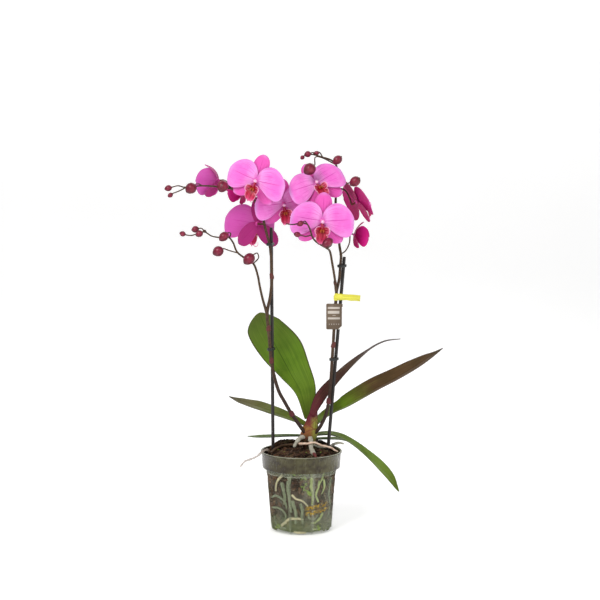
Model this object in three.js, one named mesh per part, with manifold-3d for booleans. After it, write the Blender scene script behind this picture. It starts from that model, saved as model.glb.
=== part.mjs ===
/**
 * Potted moth orchid with two flower spikes, in a clear pot.
 * Millimetres, +Z up. Origin: the centre of the pot's underside. -Y is the front.
 */
import * as THREE from 'three';
import { mergeVertices } from 'three/addons/utils/BufferGeometryUtils.js';
import Module from 'manifold-3d';

const wasm = await Module();
wasm.setup();

// ---------------------------------------------------------------- driving dimensions
const CLEARANCE = 0.35; // between pieces that touch
const POT = {
  rim: 60, // outer radius at the top
  height: 118,
  collarFoot: 57.3, // outer radius at the collar's lower edge
  collarHeight: 23.5,
  shoulder: 53.2, // outer radius of the body just under the collar
  foot: 45.8,
  footRound: 6,
  wall: 1.2,
  floor: 1.6,
  sides: 26,
  slots: 6,
  slotWidth: 9,
  slotHeight: 4,
};
const BARK = { top: 109, dome: 9, bump: 2.2, rings: 2, seed: 7 };
const SLABS = [ // the large bark pieces that lie against the back of the rim, [x, y, z] along each
  { radii: [4.5, 7.2, 7.5, 5], way: [[-43, 23, 113], [-34, 35, 117.5], [-19, 45, 118.5], [-3, 48, 116.5]] },
  { radii: [5, 7.4, 7, 4], way: [[9, 48, 116], [21, 44, 117.5], [34, 36, 117], [44, 25, 114]] },
];
const CANE = { radius: 2.5, sides: 6 };
const CLIP = { wall: 1.6, height: 4 };
const PETAL = { thickness: 0.8, rows: 5, columns: 4 };
const SEPAL = { rows: 3, columns: 2 };
const LEAF = { rows: 7, columns: 4, middle: 2.2, edge: 1.0 };
const HUB = { radius: 4.2, back: 4, front: 2.2 }; // where a flower's parts meet
const TAG = { width: 23, height: 38, thickness: 0.8, corner: 1.5, fold: 5.5 };
const LABEL = { length: 38, height: 9, thickness: 0.8, band: 7 };

const V = (x, y, z) => new THREE.Vector3(x, y, z);
const radians = THREE.MathUtils.degToRad;

// ---------------------------------------------------------------- materials
/** A plain material with the part's colour and finish. */
function paint(colour, roughness, metalness = 0) {
  return new THREE.MeshStandardMaterial({ color: colour, roughness, metalness });
}
const MATERIAL = {
  pot: paint(0x8d9a86, 0.25),
  bark: paint(0x4a3426, 0.95),
  rootGrey: paint(0xa9ab96, 0.7),
  rootPale: paint(0xd9c3ae, 0.6),
  crown: paint(0x8c733c, 0.5),
  leaf: paint(0x6e912d, 0.4),
  leafPurple: paint(0x5f3c3c, 0.4),
  stem: paint(0x645541, 0.5),
  petal: paint(0xee66cc, 0.55),
  lip: paint(0xbe143c, 0.45),
  plasticDark: paint(0x2b2422, 0.4),
  clip: paint(0x141414, 0.45),
  tag: paint(0x7d695a, 0.5),
  label: paint(0xf5eb50, 0.5),
};

// ---------------------------------------------------------------- solids
/** A closed solid from a three.js geometry whose shared corners are merged. */
function solid(geometry) {
  const bare = new THREE.BufferGeometry();
  bare.setAttribute('position', geometry.getAttribute('position'));
  if (geometry.index) bare.setIndex(geometry.index);
  const merged = mergeVertices(bare, 1e-4);
  const corners = Array.from(merged.index.array);
  const triVerts = [];
  for (let i = 0; i < corners.length; i += 3) {
    const [a, b, c] = corners.slice(i, i + 3);
    if (a !== b && b !== c && c !== a) triVerts.push(a, b, c);
  }
  return new wasm.Manifold(new wasm.Mesh({
    numProp: 3,
    vertProperties: Float32Array.from(merged.getAttribute('position').array),
    triVerts: Uint32Array.from(triVerts),
  }));
}

/** Several solids joined to one. */
function join(solids) {
  return solids.reduce((whole, next) => whole.add(next));
}

/** A named mesh of a solid. */
function piece(name, body, material) {
  const { vertProperties, triVerts } = body.getMesh();
  const geometry = new THREE.BufferGeometry();
  geometry.setAttribute('position', new THREE.BufferAttribute(new Float32Array(vertProperties), 3));
  geometry.setIndex(new THREE.BufferAttribute(new Uint32Array(triVerts), 1));
  geometry.computeVertexNormals();
  const mesh = new THREE.Mesh(geometry, material);
  mesh.name = name;
  return mesh;
}

/** A geometry from a list of corners and a list of corner numbers. */
function indexed(corners, index) {
  const geometry = new THREE.BufferGeometry().setFromPoints(corners);
  geometry.setIndex(index);
  return geometry;
}

/** Right and up directions carried along a curve without twisting. */
function carriedFrames(curve, steps) {
  const frames = [];
  let right = null;
  for (let i = 0; i <= steps; i += 1) {
    const tangent = curve.getTangent(i / steps).normalize();
    if (!right) right = Math.abs(tangent.z) > 0.9 ? V(1, 0, 0) : V(0, 0, 1);
    right = right.clone().addScaledVector(tangent, -right.dot(tangent)).normalize();
    frames.push({ centre: curve.getPoint(i / steps), right, up: tangent.clone().cross(right) });
  }
  return frames;
}

/**
 * A round bar through points, its radius given by a list spread evenly along it.
 * A margin makes it thicker and longer by that much, for the space around it.
 */
function bar(points, radii, sides = 6, steps = points.length - 1, margin = 0) {
  const curve = new THREE.CatmullRomCurve3(points);
  const radiusAt = (u) => {
    const place = u * (radii.length - 1);
    const before = Math.min(Math.floor(place), radii.length - 2);
    return THREE.MathUtils.lerp(radii[before], radii[before + 1], place - before) + margin;
  };
  const corners = [];
  const index = [];
  const frames = carriedFrames(curve, steps);
  frames[0].centre.addScaledVector(curve.getTangent(0), -margin);
  frames[steps].centre.addScaledVector(curve.getTangent(1), margin);
  frames.forEach(({ centre, right, up }, i) => {
    const radius = radiusAt(i / steps);
    for (let k = 0; k < sides; k += 1) {
      const angle = (2 * Math.PI * k) / sides;
      corners.push(centre.clone()
        .addScaledVector(right, radius * Math.cos(angle))
        .addScaledVector(up, radius * Math.sin(angle)));
    }
  });
  for (let i = 0; i < steps; i += 1) {
    for (let k = 0; k < sides; k += 1) {
      const next = (k + 1) % sides;
      const [a, b, c, d] = [i * sides + k, i * sides + next, (i + 1) * sides + next, (i + 1) * sides + k];
      index.push(a, b, c, a, c, d);
    }
  }
  for (let k = 1; k < sides - 1; k += 1) {
    const last = steps * sides;
    index.push(0, k + 1, k, last, last + k, last + k + 1);
  }
  return solid(indexed(corners, index));
}

/**
 * A thin blade on a surface point(s, t), s from root to tip and t from -1 to 1 across.
 * Both faces are split into triangles alike, and the last row closes to one point.
 */
function blade(point, rows, columns, thicknessAt) {
  const faces = [[], []];
  const step = 0.01;
  for (let i = 0; i <= rows; i += 1) {
    const s = Math.sin((i / rows) * Math.PI * 0.5);
    for (let j = 0; j <= columns; j += 1) {
      const t = i === rows ? 0 : (2 * j) / columns - 1;
      const near = Math.min(Math.max(s, step), 1 - 3 * step);
      const along = point(near + step, t).sub(point(near - step, t));
      const across = point(near, Math.min(t + step, 1)).sub(point(near, Math.max(t - step, -1)));
      const normal = along.cross(across).normalize();
      const half = thicknessAt(s, t) / 2;
      faces[0].push(point(s, t).addScaledVector(normal, half));
      faces[1].push(point(s, t).addScaledVector(normal, -half));
    }
  }
  const width = columns + 1;
  const under = (rows + 1) * width;
  const index = [];
  const quad = (a, b, c, d) => index.push(a, b, c, a, c, d);
  for (let i = 0; i < rows; i += 1) {
    for (let j = 0; j < columns; j += 1) {
      const [a, b, c, d] = [i * width + j, (i + 1) * width + j, (i + 1) * width + j + 1, i * width + j + 1];
      index.push(a, b, c, a, c, d);
      index.push(under + a, under + c, under + b, under + a, under + d, under + c);
    }
    const [left, leftNext] = [i * width, (i + 1) * width];
    quad(under + left, under + leftNext, leftNext, left);
    quad(left + columns, leftNext + columns, under + leftNext + columns, under + left + columns);
  }
  for (let j = 0; j < columns; j += 1) {
    quad(under + j, j, j + 1, under + j + 1);
  }
  return solid(indexed([...faces[0], ...faces[1]], index));
}

/** A turned solid from [radius, height] pairs that start and end on the axis. */
function turned(profile, sides) {
  const points = profile.map(([radius, height]) => new THREE.Vector2(radius, height));
  return solid(new THREE.LatheGeometry(points, sides).rotateX(Math.PI / 2));
}

/** An outline in the XY plane, pushed up from a foot by a height. */
function prism(shape, foot, height) {
  const pushed = new THREE.ExtrudeGeometry(shape, { depth: height, bevelEnabled: false, curveSegments: 3 });
  return solid(pushed.translate(0, 0, foot));
}

/** A repeatable random number from 0 to 1 for each call. */
function seeded(seed) {
  let state = seed;
  return () => {
    state = (state * 16807) % 2147483647;
    return state / 2147483647;
  };
}

// ---------------------------------------------------------------- pot and bark
const COLLAR_FOOT_Z = POT.height - POT.collarHeight;

/** [radius, height] pairs of the pot's outside from the floor's centre up to the rim. */
function potOutside() {
  const round = POT.footRound;
  return [
    [0, 0],
    [POT.foot - round, 0],
    [POT.foot - round * 0.3, round * 0.3],
    [POT.foot + 0.3, round],
    [POT.shoulder, COLLAR_FOOT_Z - 1],
    [POT.collarFoot - 0.8, COLLAR_FOOT_Z - 1],
    [POT.collarFoot, COLLAR_FOOT_Z],
    [POT.rim - 1.4, POT.height - 3],
    [POT.rim, POT.height - 2.4],
    [POT.rim, POT.height],
  ];
}

/** The pot's inside, from the rim down to the floor's centre, drawn in by a further inset. */
function potInside(inset = 0) {
  const gap = POT.wall + inset;
  return [
    [POT.rim - 1.6 - gap, POT.height],
    [POT.collarFoot - gap, COLLAR_FOOT_Z + POT.wall],
    [POT.shoulder - gap, COLLAR_FOOT_Z - 0.4],
    [POT.foot + 0.3 - gap, POT.footRound],
    [POT.foot - POT.footRound * 0.5 - gap, POT.floor + 0.6 + inset],
    [POT.foot - POT.footRound - gap, POT.floor + inset],
    [0, POT.floor + inset],
  ];
}

/** The clear pot with its drain slots around the foot. */
function potBody() {
  let body = turned([...potOutside(), ...potInside()], POT.sides);
  for (let k = 0; k < POT.slots; k += 1) {
    const slot = new THREE.BoxGeometry(16, POT.slotWidth, POT.slotHeight);
    slot.translate(POT.foot, 0, POT.slotHeight / 2 + 2.4).rotateZ(((k + 0.5) * 2 * Math.PI) / POT.slots);
    body = body.subtract(solid(slot));
  }
  return body;
}

/** Inner radius of the pot at a height, from the same pairs as its wall. */
function insideRadius(height) {
  const pairs = potInside().slice(0, 4);
  for (let i = 0; i < pairs.length - 1; i += 1) {
    const [[upper, top], [lower, bottom]] = [pairs[i], pairs[i + 1]];
    if (height >= bottom) return THREE.MathUtils.lerp(lower, upper, (height - bottom) / (top - bottom));
  }
  return pairs[3][0];
}

/** The bark that fills the pot, its top raised into chips by a seeded draw. */
function barkBody() {
  const random = seeded(BARK.seed);
  const wallPairs = potInside(CLEARANCE).slice(1).reverse();
  const edge = insideRadius(BARK.top) - CLEARANCE;
  const topPairs = [];
  for (let i = 0; i < BARK.rings; i += 1) {
    const share = 1 - i / BARK.rings;
    topPairs.push([edge * share, BARK.top + BARK.dome * (1 - share * share)]);
  }
  topPairs.push([0, BARK.top + BARK.dome]);
  const points = [...wallPairs, ...topPairs].map(([radius, height]) => new THREE.Vector2(radius, height));
  const lathe = new THREE.LatheGeometry(points, POT.sides).rotateX(Math.PI / 2);
  const positions = lathe.getAttribute('position');
  const firstTop = wallPairs.length;
  const rows = points.length;
  for (let ring = firstTop + 1; ring < rows - 1; ring += 1) {
    for (let k = 0; k < POT.sides; k += 1) {
      const rise = (random() - 0.5) * 2 * BARK.bump;
      const at = k * rows + ring;
      positions.setZ(at, positions.getZ(at) + rise);
      if (k === 0) positions.setZ(POT.sides * rows + ring, positions.getZ(at));
    }
  }
  const slabs = SLABS.map(({ radii, way }) => bar(way.map((at) => V(...at)), radii, 5));
  return join([solid(lathe), ...slabs]);
}

// ---------------------------------------------------------------- crown
const CROWN = { x: 10, y: 12, foot: 104, sides: 12 };
const CROWN_RINGS = [ // height, half width, half depth, shift to the right
  [104, 4.5, 4.5, 0],
  [121, 6, 6, 0],
  [128, 9.5, 8, -0.5],
  [137, 12, 9, 0.5],
  [148, 12, 8.5, 3],
  [158, 9.5, 7.2, 5.5],
  [170, 7.6, 5.6, 7.5],
  [181, 5, 4, 9.5],
];

/** The short stem with its sheaths, grown by a margin where others keep clear of it. */
function crownBody(margin = 0) {
  const corners = [];
  CROWN_RINGS.forEach(([height, wide, deep, shift], i) => {
    const end = i === 0 ? -margin : (i === CROWN_RINGS.length - 1 ? margin : 0);
    for (let k = 0; k < CROWN.sides; k += 1) {
      const angle = (2 * Math.PI * k) / CROWN.sides;
      const x = CROWN.x + shift + (wide + margin) * Math.cos(angle);
      corners.push(V(x, CROWN.y + (deep + margin) * Math.sin(angle), height + end));
    }
  });
  const index = [];
  const { sides } = CROWN;
  const last = (CROWN_RINGS.length - 1) * sides;
  for (let i = 0; i < CROWN_RINGS.length - 1; i += 1) {
    for (let k = 0; k < sides; k += 1) {
      const next = (k + 1) % sides;
      const [a, b, c, d] = [i * sides + k, i * sides + next, (i + 1) * sides + next, (i + 1) * sides + k];
      index.push(a, b, c, a, c, d);
    }
  }
  for (let k = 1; k < sides - 1; k += 1) {
    index.push(0, k + 1, k, last, last + k, last + k + 1);
  }
  return solid(indexed(corners, index));
}

// ---------------------------------------------------------------- roots
const ROOT_ROOM = 3.4 * CLEARANCE; // bark left out around a root, so that it shows at the wall
const ROOT_TURN = 5; // how far from the wall a root turns down

/** A root's centre at an inset from the inner wall; angle 0 is the front, counted to the right. */
function atWall(angle, height, inset) {
  const reach = insideRadius(height) * Math.cos(Math.PI / POT.sides) - inset;
  return V(reach * Math.sin(radians(angle)), -reach * Math.cos(radians(angle)), height);
}

const ROOT_HEAD = V(CROWN.x, CROWN.y, 99);
const POT_ROOTS = [ // radius, then [angle, height] pairs down the wall
  { radius: 3.8, down: [[-22, 84], [-24, 70], [-22, 56], [-19, 32]] },
  { radius: 1.9, down: [[-32, 86], [-40, 76], [-42, 64]] },
  { radius: 2.6, down: [[14, 86], [16, 68], [16, 46]] },
  { radius: 1.9, down: [[-40, 20], [-26, 24], [-12, 24], [3, 23]] },
  { radius: 1.6, down: [[30, 86], [26, 70], [30, 54]] },
  { radius: 2.4, down: [[160, 84], [158, 62], [150, 38]] },
];

/** The roots inside the pot, all from the head under the crown, grown by a margin. */
function potRoots(margin = 0) {
  const top = V(CROWN.x, CROWN.y, CROWN.foot - 2 * CLEARANCE);
  const head = bar([V(CROWN.x, CROWN.y, 90), top], [6, 6], 6, 1, margin);
  const strands = POT_ROOTS.map(({ radius, down }) => {
    const inset = (place) => radius + (place === 0 ? ROOT_TURN : 2 * CLEARANCE);
    const wall = down.map(([angle, height], place) => atWall(angle, height, inset(place)));
    const points = [ROOT_HEAD, ROOT_HEAD.clone().lerp(wall[0], 0.45), ...wall];
    return bar(points, [radius, radius, radius * 0.8], 4, wall.length + 1, margin);
  });
  return join([head, ...strands]);
}

const AIR_ROOTS = [
  {
    name: 'root_front',
    colour: 'rootGrey',
    radii: [3.3, 3.4, 3, 3.6, 2.6, 1.5],
    points: [V(13, 8, 138), V(14, -6, 131), V(14.4, -22, 126), V(16.5, -38, 122.6), V(18.5, -52, 122.6),
      V(21, -63, 121.4)],
  },
  {
    name: 'root_left_stub',
    colour: 'rootGrey',
    radii: [3.2, 3.1, 1.9],
    points: [V(6, 8, 136.5), V(-2, -1, 136), V(-8, -8, 129.5), V(-11, -11, 124)],
  },
  {
    name: 'root_wavy',
    colour: 'rootPale',
    radii: [1.9, 1.6, 1.5, 1.3],
    points: [V(4, 8, 126), V(-1, -4, 127.5), V(-2, -13, 130), V(4, -17, 131), V(10, -18, 131.4),
      V(16, -19, 133), V(21.5, -17, 132), V(29, -15, 128), V(38, -14, 126), V(45, -14, 123.6),
      V(50, -13, 119.8), V(54, -12, 117.8)],
  },
  {
    name: 'root_over_rim',
    colour: 'rootPale',
    radii: [1.8, 1.8, 1.6, 1.2],
    points: [V(6, 12, 125), V(-10, 23, 121.5), V(-24, 25, 120.5), V(-36, 11, 119), V(-44, -6, 116.5),
      V(-46, -22, 119), V(-50, -31, 125),
      V(-56, -33, 123), V(-64, -34, 116), V(-73, -36, 112), V(-82, -38, 109), V(-89, -40, 101)],
  },
  {
    name: 'root_right_tip',
    colour: 'rootPale',
    radii: [1.7, 1.8, 2.2, 1.2],
    points: [V(16, 14, 124), V(28, 24, 117.5), V(42, 28, 117.5), V(49, 30, 121), V(56, 33, 122.2),
      V(64, 37, 120)],
  },
];

/** One aerial root, grown by a margin. */
function airRoot({ points, radii }, margin = 0) {
  return bar(points, radii, 6, points.length, margin);
}

// ---------------------------------------------------------------- leaves
/**
 * One place along a leaf's midrib: its point, the width to its left and right as its face is seen
 * with the tip up, how far the halves fold up in degrees, and where the face looks.
 */
function rib(at, left, right, fold, face) {
  return { centre: V(...at), left, right, fold, face: V(...face).normalize() };
}

const LEAVES = { // blunt: how late along the leaf its tip rounds off
  leaf_upright: {
    blunt: 9,
    ribs: [
      rib([9, 17, 162], 4.5, 8, 14, [0.2, -1, 0.3]),
      rib([-2, 27, 201], 8.5, 25, 14, [0.15, -1, 0.3]),
      rib([-17, 37, 228], 17, 32, 12, [0.1, -1, 0.3]),
      rib([-34, 46, 259], 27, 36.5, 10, [0, -1, 0.3]),
      rib([-54, 54, 296], 31, 25, 6, [-0.05, -1, 0.3]),
      rib([-63, 57, 315], 20, 12, 0, [-0.1, -1, 0.3]),
    ],
  },
  leaf_left_upper: {
    blunt: 5,
    ribs: [
      rib([6, 14, 152], 7, 6, 30, [0, -0.2, 1]),
      rib([-17, 28, 159], 12, 12, 20, [0, -0.18, 1]),
      rib([-44, 41, 167], 16, 17, 14, [0, -0.16, 1]),
      rib([-68, 50, 174.5], 17, 18, 10, [0, -0.16, 1]),
      rib([-90, 56, 181], 14, 14, 6, [0, -0.16, 1]),
      rib([-109, 60, 188], 3, 3, 0, [0, -0.2, 1]),
    ],
  },
  leaf_left_lower: {
    blunt: 5,
    ribs: [
      rib([3, 16, 136], 5, 5, 20, [0, 0, 1]),
      rib([-21, 30, 133], 9, 9, 12, [0, 0, 1]),
      rib([-47, 39, 130], 13, 13, 8, [0, 0, 1]),
      rib([-65, 43, 129.5], 12, 12, 6, [0, 0, 1]),
      rib([-81, 46, 130], 3, 3, 0, [0, 0, 1]),
    ],
  },
  leaf_purple: {
    blunt: 4,
    ribs: [
      rib([18, 7, 166], 7, 9, 30, [-0.8, 0.6, 0.2]),
      rib([32, 17, 190], 13, 16, 24, [-0.7, 0.6, 0.25]),
      rib([49, 34, 208.5], 17, 17, 20, [-0.7, 0.55, 0.5]),
      rib([68, 45, 228.5], 17, 17, 16, [-0.65, 0.5, 0.75]),
      rib([87, 53, 246.5], 16, 16, 12, [-0.5, 0.35, 0.9]),
      rib([106, 58, 262], 13, 13, 8, [-0.35, 0.16, 1]),
      rib([127, 61, 272], 9, 9, 4, [-0.2, 0.05, 1]),
      rib([149, 62, 275], 2, 2, 0, [0, 0, 1]),
    ],
  },
  leaf_long_right: {
    blunt: 5,
    ribs: [
      rib([19, 15, 150], 9, 9, 30, [-0.4, -0.3, 1]),
      rib([43, 43.4, 163.5], 14, 10.8, 24, [-0.4, -0.3, 1]),
      rib([67, 44, 176], 22, 20, 20, [-0.4, -0.3, 1]),
      rib([91, 51, 188.5], 25, 23, 20, [-0.4, -0.3, 1]),
      rib([115, 57, 201], 26, 24, 20, [-0.4, -0.3, 1]),
      rib([140, 61, 213.5], 25, 23, 19, [-0.4, -0.3, 1]),
      rib([166, 64, 228.5], 24, 20, 16, [-0.4, -0.3, 1]),
      rib([190, 67, 244], 20, 14, 10, [-0.4, -0.3, 1]),
      rib([213, 69, 260], 5, 4, 0, [-0.4, -0.3, 1]),
    ],
  },
  leaf_drooping: {
    blunt: 7,
    ribs: [
      rib([18, 14, 137], 6, 6, 24, [0, -0.1, 1]),
      rib([44, 35, 134], 10, 10, 18, [0.1, -0.12, 1]),
      rib([63, 40, 127], 13, 11, 14, [0.5, -0.15, 1]),
      rib([82, 46, 114], 15, 12, 12, [0.7, -0.2, 1]),
      rib([101, 49, 98], 16, 12, 10, [0.9, -0.3, 0.8]),
      rib([119, 50, 81], 17, 12, 8, [1, -0.5, 0.8]),
      rib([135, 49, 64], 15, 12, 5, [1, -0.6, 0.7]),
      rib([147, 47, 45], 7, 6, 0, [1, -0.6, 0.6]),
    ],
  },
  leaf_back_right: {
    blunt: 5,
    ribs: [
      rib([17, 18, 131], 4, 4, 20, [0, 0, 1]),
      rib([44, 44, 126], 8, 8, 12, [0.1, 0, 1]),
      rib([63, 62, 121], 9, 9, 8, [0.2, 0, 1]),
      rib([82, 74, 112], 3, 3, 0, [0.3, 0, 1]),
    ],
  },
};

/** The leaf's surface point(s, t) through its ribs, with the halves folded up from the midrib. */
function leafSurface({ ribs, blunt }) {
  const midrib = new THREE.CatmullRomCurve3(ribs.map(({ centre }) => centre));
  const faces = new THREE.CatmullRomCurve3(ribs.map(({ face }) => face));
  const shape = new THREE.CatmullRomCurve3(ribs.map(({ left, right, fold }) => V(left, right, fold)));
  return (s, t) => {
    const tangent = midrib.getTangent(s);
    const across = tangent.clone().cross(faces.getPoint(s)).normalize();
    const face = across.clone().cross(tangent).normalize();
    const { x: left, y: right, z: fold } = shape.getPoint(s);
    const width = (t < 0 ? left : right) * Math.sqrt(Math.max(1 - s ** blunt, 0));
    const lift = radians(Math.max(fold, 0));
    return midrib.getPoint(s)
      .addScaledVector(across, t * width * Math.cos(lift))
      .addScaledVector(face, Math.abs(t) * width * Math.sin(lift));
  };
}

/** A fleshy leaf, thickest on its midrib. */
function leafBody(leaf) {
  const thickness = (s, t) => THREE.MathUtils.lerp(LEAF.middle, LEAF.edge, Math.max(Math.abs(t), s * s));
  return blade(leafSurface(leaf), LEAF.rows, LEAF.columns, thickness);
}

// ---------------------------------------------------------------- flowers
/**
 * Surface of a petal or sepal in its flower's frame: X right, Y up, Z where the flower looks.
 * heading turns it in the flower's plane, upper and lower are its half widths, slow and slim set how
 * late the outline widens and how early it narrows on those two sides, tilt leans it forward, curl
 * bends it on, cup bends its edges back.
 */
function tepalSurface({ heading, length, upper, lower, slow, slim, lift, tilt, curl, cup, wave }) {
  const turn = radians(heading);
  const outline = (s, side) => {
    const [width, early, late] = side < 0 ? [lower, slow[1], slim[1]] : [upper, slow[0], slim[0]];
    const peak = early / (early + late);
    const norm = peak ** early * (1 - peak) ** late;
    const claw = 2.2 * (1 - s) ** 3;
    return (width * s ** early * (1 - s) ** late) / norm + claw;
  };
  return (s, t) => {
    const [from, to] = [radians(tilt), radians(tilt + curl * s)];
    const bend = to - from || 1e-6;
    const ripple = wave * Math.sin(7 * s + 2.4 * t) * t * t * s;
    const rise = ripple - cup * t * t * Math.min(1.6 * s, 1);
    const along = (length * s * (Math.sin(to) - Math.sin(from))) / bend - rise * Math.sin(to);
    const forward = (length * s * (Math.cos(from) - Math.cos(to))) / bend + rise * Math.cos(to);
    const side = t * outline(s, t);
    return V(
      along * Math.cos(turn) - side * Math.sin(turn),
      along * Math.sin(turn) + side * Math.cos(turn),
      lift + forward,
    );
  };
}

/** The five tepals of a flower: how far its petals and its sepals lean forward, in degrees. */
function tepalSpecs(petalsIn, sepalsIn) {
  const petal = {
    length: 47, slow: [0.58, 1], slim: [0.66, 0.36], lift: 0.3, tilt: 8 + petalsIn * 0.5,
    curl: -16 + petalsIn * 0.8, cup: 1.2 - petalsIn * 0.14, wave: 1.1,
  };
  const sepal = {
    slow: [0.62, 0.84], slim: [0.52, 0.52], lift: -1.7, tilt: 2 + sepalsIn * 0.1, curl: -14 + sepalsIn * 1.25,
    cup: 1.4, wave: 0.3,
  };
  return {
    petals: [
      { ...petal, heading: 7, upper: 25, lower: 26.5 },
      { ...petal, heading: 173, upper: 25, lower: 26.5, mirrored: true },
    ],
    sepals: [
      { ...sepal, heading: 90, length: 42, upper: 13, lower: 13 },
      { ...sepal, heading: -136, length: 44, upper: 12.5, lower: 12.5 },
      { ...sepal, heading: -44, length: 44, upper: 12.5, lower: 12.5 },
    ],
  };
}

/** One petal or sepal as a blade; a mirrored one swaps its upper and lower edges. */
function tepalBody(spec, { rows, columns }) {
  const surface = tepalSurface(spec);
  const point = spec.mirrored
    ? (s, t) => {
      const twin = tepalSurface({ ...spec, heading: 180 - spec.heading })(s, -t);
      return V(-twin.x, twin.y, twin.z);
    }
    : surface;
  return blade(point, rows, columns, () => PETAL.thickness);
}

/** The flower's centre, where its parts meet the stalk. */
function hubBody(margin = 0) {
  return bar([V(0, 0, -HUB.back), V(0, 0, -1.4), V(0, 0, 0.8), V(0, 0, HUB.front)],
    [2.6, HUB.radius, HUB.radius, 2.6], 6, 3, margin);
}

/** The column that stands out of the centre over the lip. */
function columnBody(margin = 0) {
  return bar([V(0, 0, 0), V(0, 0.6, 4.5), V(0, 0, 8), V(0, -0.8, 9.6)], [2.8, 2.2, 2.7, 1.4], 5, 3, margin);
}

/** A flower's pink body: tepals, centre and column. */
function bloomBody({ petalsIn = 0, sepalsIn = 0 }) {
  const { petals, sepals } = tepalSpecs(petalsIn, sepalsIn);
  return join([
    hubBody(),
    columnBody(),
    ...petals.map((spec) => tepalBody(spec, PETAL)),
    ...sepals.map((spec) => tepalBody(spec, SEPAL)),
  ]);
}

/** A lobe of the lip: a spine, a half width along it and the direction it spreads in. */
function lobe(spine, half, spread, rows) {
  const curve = new THREE.CatmullRomCurve3(spine);
  const across = spread.clone().normalize();
  const up = curve.getTangent(0.5).cross(across).normalize();
  const outline = (s) => half * ((s ** 0.6 * (1 - s) ** 0.5) / 0.59 + 0.15 * (1 - s));
  const point = (s, t) => curve.getPoint(s)
    .addScaledVector(across, t * outline(s))
    .addScaledVector(up, 2 * t * t * s);
  return blade(point, rows, 2, () => PETAL.thickness);
}

/** The lip: claw with its crest, two side lobes beside the column, front lobe. */
function lipBody(share = 1) {
  const at = (x, y, z) => V(x, y, z).multiplyScalar(share);
  const claw = bar([at(0, -1.5, 1.5), at(0, -7, 6.6), at(0, -9.6, 9), at(0, -9.4, 12)],
    [1.7, 2.2, 2.8, 1.1].map((radius) => radius * share), 4);
  const front = lobe([at(0, -10, 8), at(0, -17, 11), at(0, -25, 12.4), at(0, -32.5, 9)],
    10.8 * share, V(1, 0, 0), 3);
  const sides = [-1, 1].map((hand) => lobe(
    [at(hand * 1.2, -12.4, 8.4), at(hand * 6.6, -12.6, 10.8), at(hand * 11.6, -11.4, 15)],
    7.6 * share, V(-0.12, hand * 1, -0.1), 2));
  return join([claw, front, ...sides]).subtract(join([hubBody(CLEARANCE), columnBody(CLEARANCE)]));
}

/**
 * Where the flowers sit: centre, turn to the viewer's right and tilt up of the way they look,
 * roll against the clock, size, how far petals and sepals lean in, the lip's share of its full
 * size, and the stalk's way from its spike.
 */
const BLOOMS = [
  { at: V(-64.5, -25, 516.5), turn: -14, tilt: -4, roll: -18, size: 0.92, spike: 'left',
    stalk: [V(-69, 0, 487), V(-63, 0, 502)] },
  { at: V(-26, 0, 481.5), turn: 12, tilt: -14, roll: 9, size: 0.9, spike: 'left',
    stalk: [V(-58, 1.2, 468), V(-46, 7, 472), V(-34, 9, 478)] },
  { at: V(-65, 22, 451), turn: -150, tilt: 0, roll: 4, size: 1, petalsIn: 30, spike: 'left',
    stalk: [V(-53, 3, 448), V(-55, 7, 451)] },
  { at: V(-122, 22, 514), turn: -98, tilt: -6, roll: 0, size: 0.76, petalsIn: 58, sepalsIn: 58, lip: 0.5,
    spike: 'left', stalk: [V(-104, -5, 504), V(-106, 8, 511)] },
  { at: V(-84, 35, 501), turn: -96, tilt: -12, roll: 0, size: 0.64, petalsIn: 50, sepalsIn: 34, lip: 0.5,
    spike: 'left', stalk: [V(-80, -1.5, 496), V(-74, 12, 499)] },
  { at: V(22, -11.5, 511), turn: 4, tilt: 28, roll: 25, size: 0.9, spike: 'right',
    stalk: [V(54, 8, 507), V(42, 10, 509)] },
  { at: V(30, -36, 459), turn: 4, tilt: -5, roll: -4, size: 0.98, spike: 'right',
    stalk: [V(54, 6, 446), V(46, 2, 456)] },
  { at: V(81.5, 14, 484), turn: 114, tilt: 26, roll: 0, size: 0.9, spike: 'right',
    stalk: [V(54, 8, 504), V(64, 14, 500), V(70.5, 14, 489)] },
  { at: V(77.5, 0, 436.5), turn: 93, tilt: -14, roll: 0, size: 0.56, petalsIn: 50, sepalsIn: 42, lip: 0.3,
    spike: 'right', stalk: [V(56, 7, 407), V(64, 5, 412), V(70, 3, 424)] },
];

/** The direction in which a flower looks. */
function facing({ turn, tilt }) {
  const [side, rise] = [radians(turn), radians(tilt)];
  return V(Math.sin(side) * Math.cos(rise), -Math.cos(side) * Math.cos(rise), Math.sin(rise));
}

/** A group that stands where a flower sits, holding its body and its lip. */
function bloomGroup(spec, number) {
  const look = facing(spec);
  const right = V(0, 0, 1).cross(look).normalize();
  const frame = new THREE.Matrix4().makeBasis(right, look.clone().cross(right), look);
  const place = new THREE.Group();
  place.position.copy(spec.at);
  place.quaternion.setFromRotationMatrix(frame)
    .multiply(new THREE.Quaternion().setFromAxisAngle(V(0, 0, 1), radians(spec.roll)));
  place.scale.setScalar(spec.size);
  place.add(piece(`bloom_${number}`, bloomBody(spec), MATERIAL.petal));
  place.add(piece(`lip_${number}`, lipBody(spec.lip), MATERIAL.lip));
  return place;
}

/** The stalk from a spike to the back of its flower, where it ends just short of the centre. */
function flowerStalk(spec) {
  const look = facing(spec);
  const seat = spec.at.clone().addScaledVector(look, -HUB.back * spec.size - CLEARANCE);
  const behind = seat.clone().addScaledVector(look, -6 * spec.size);
  const thin = 1.5 * Math.max(spec.size, 0.7);
  const way = [...spec.stalk, behind, seat];
  return bar(way, [thin, thin * 0.9, thin, thin * 1.25], 5, way.length - 1);
}

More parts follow.
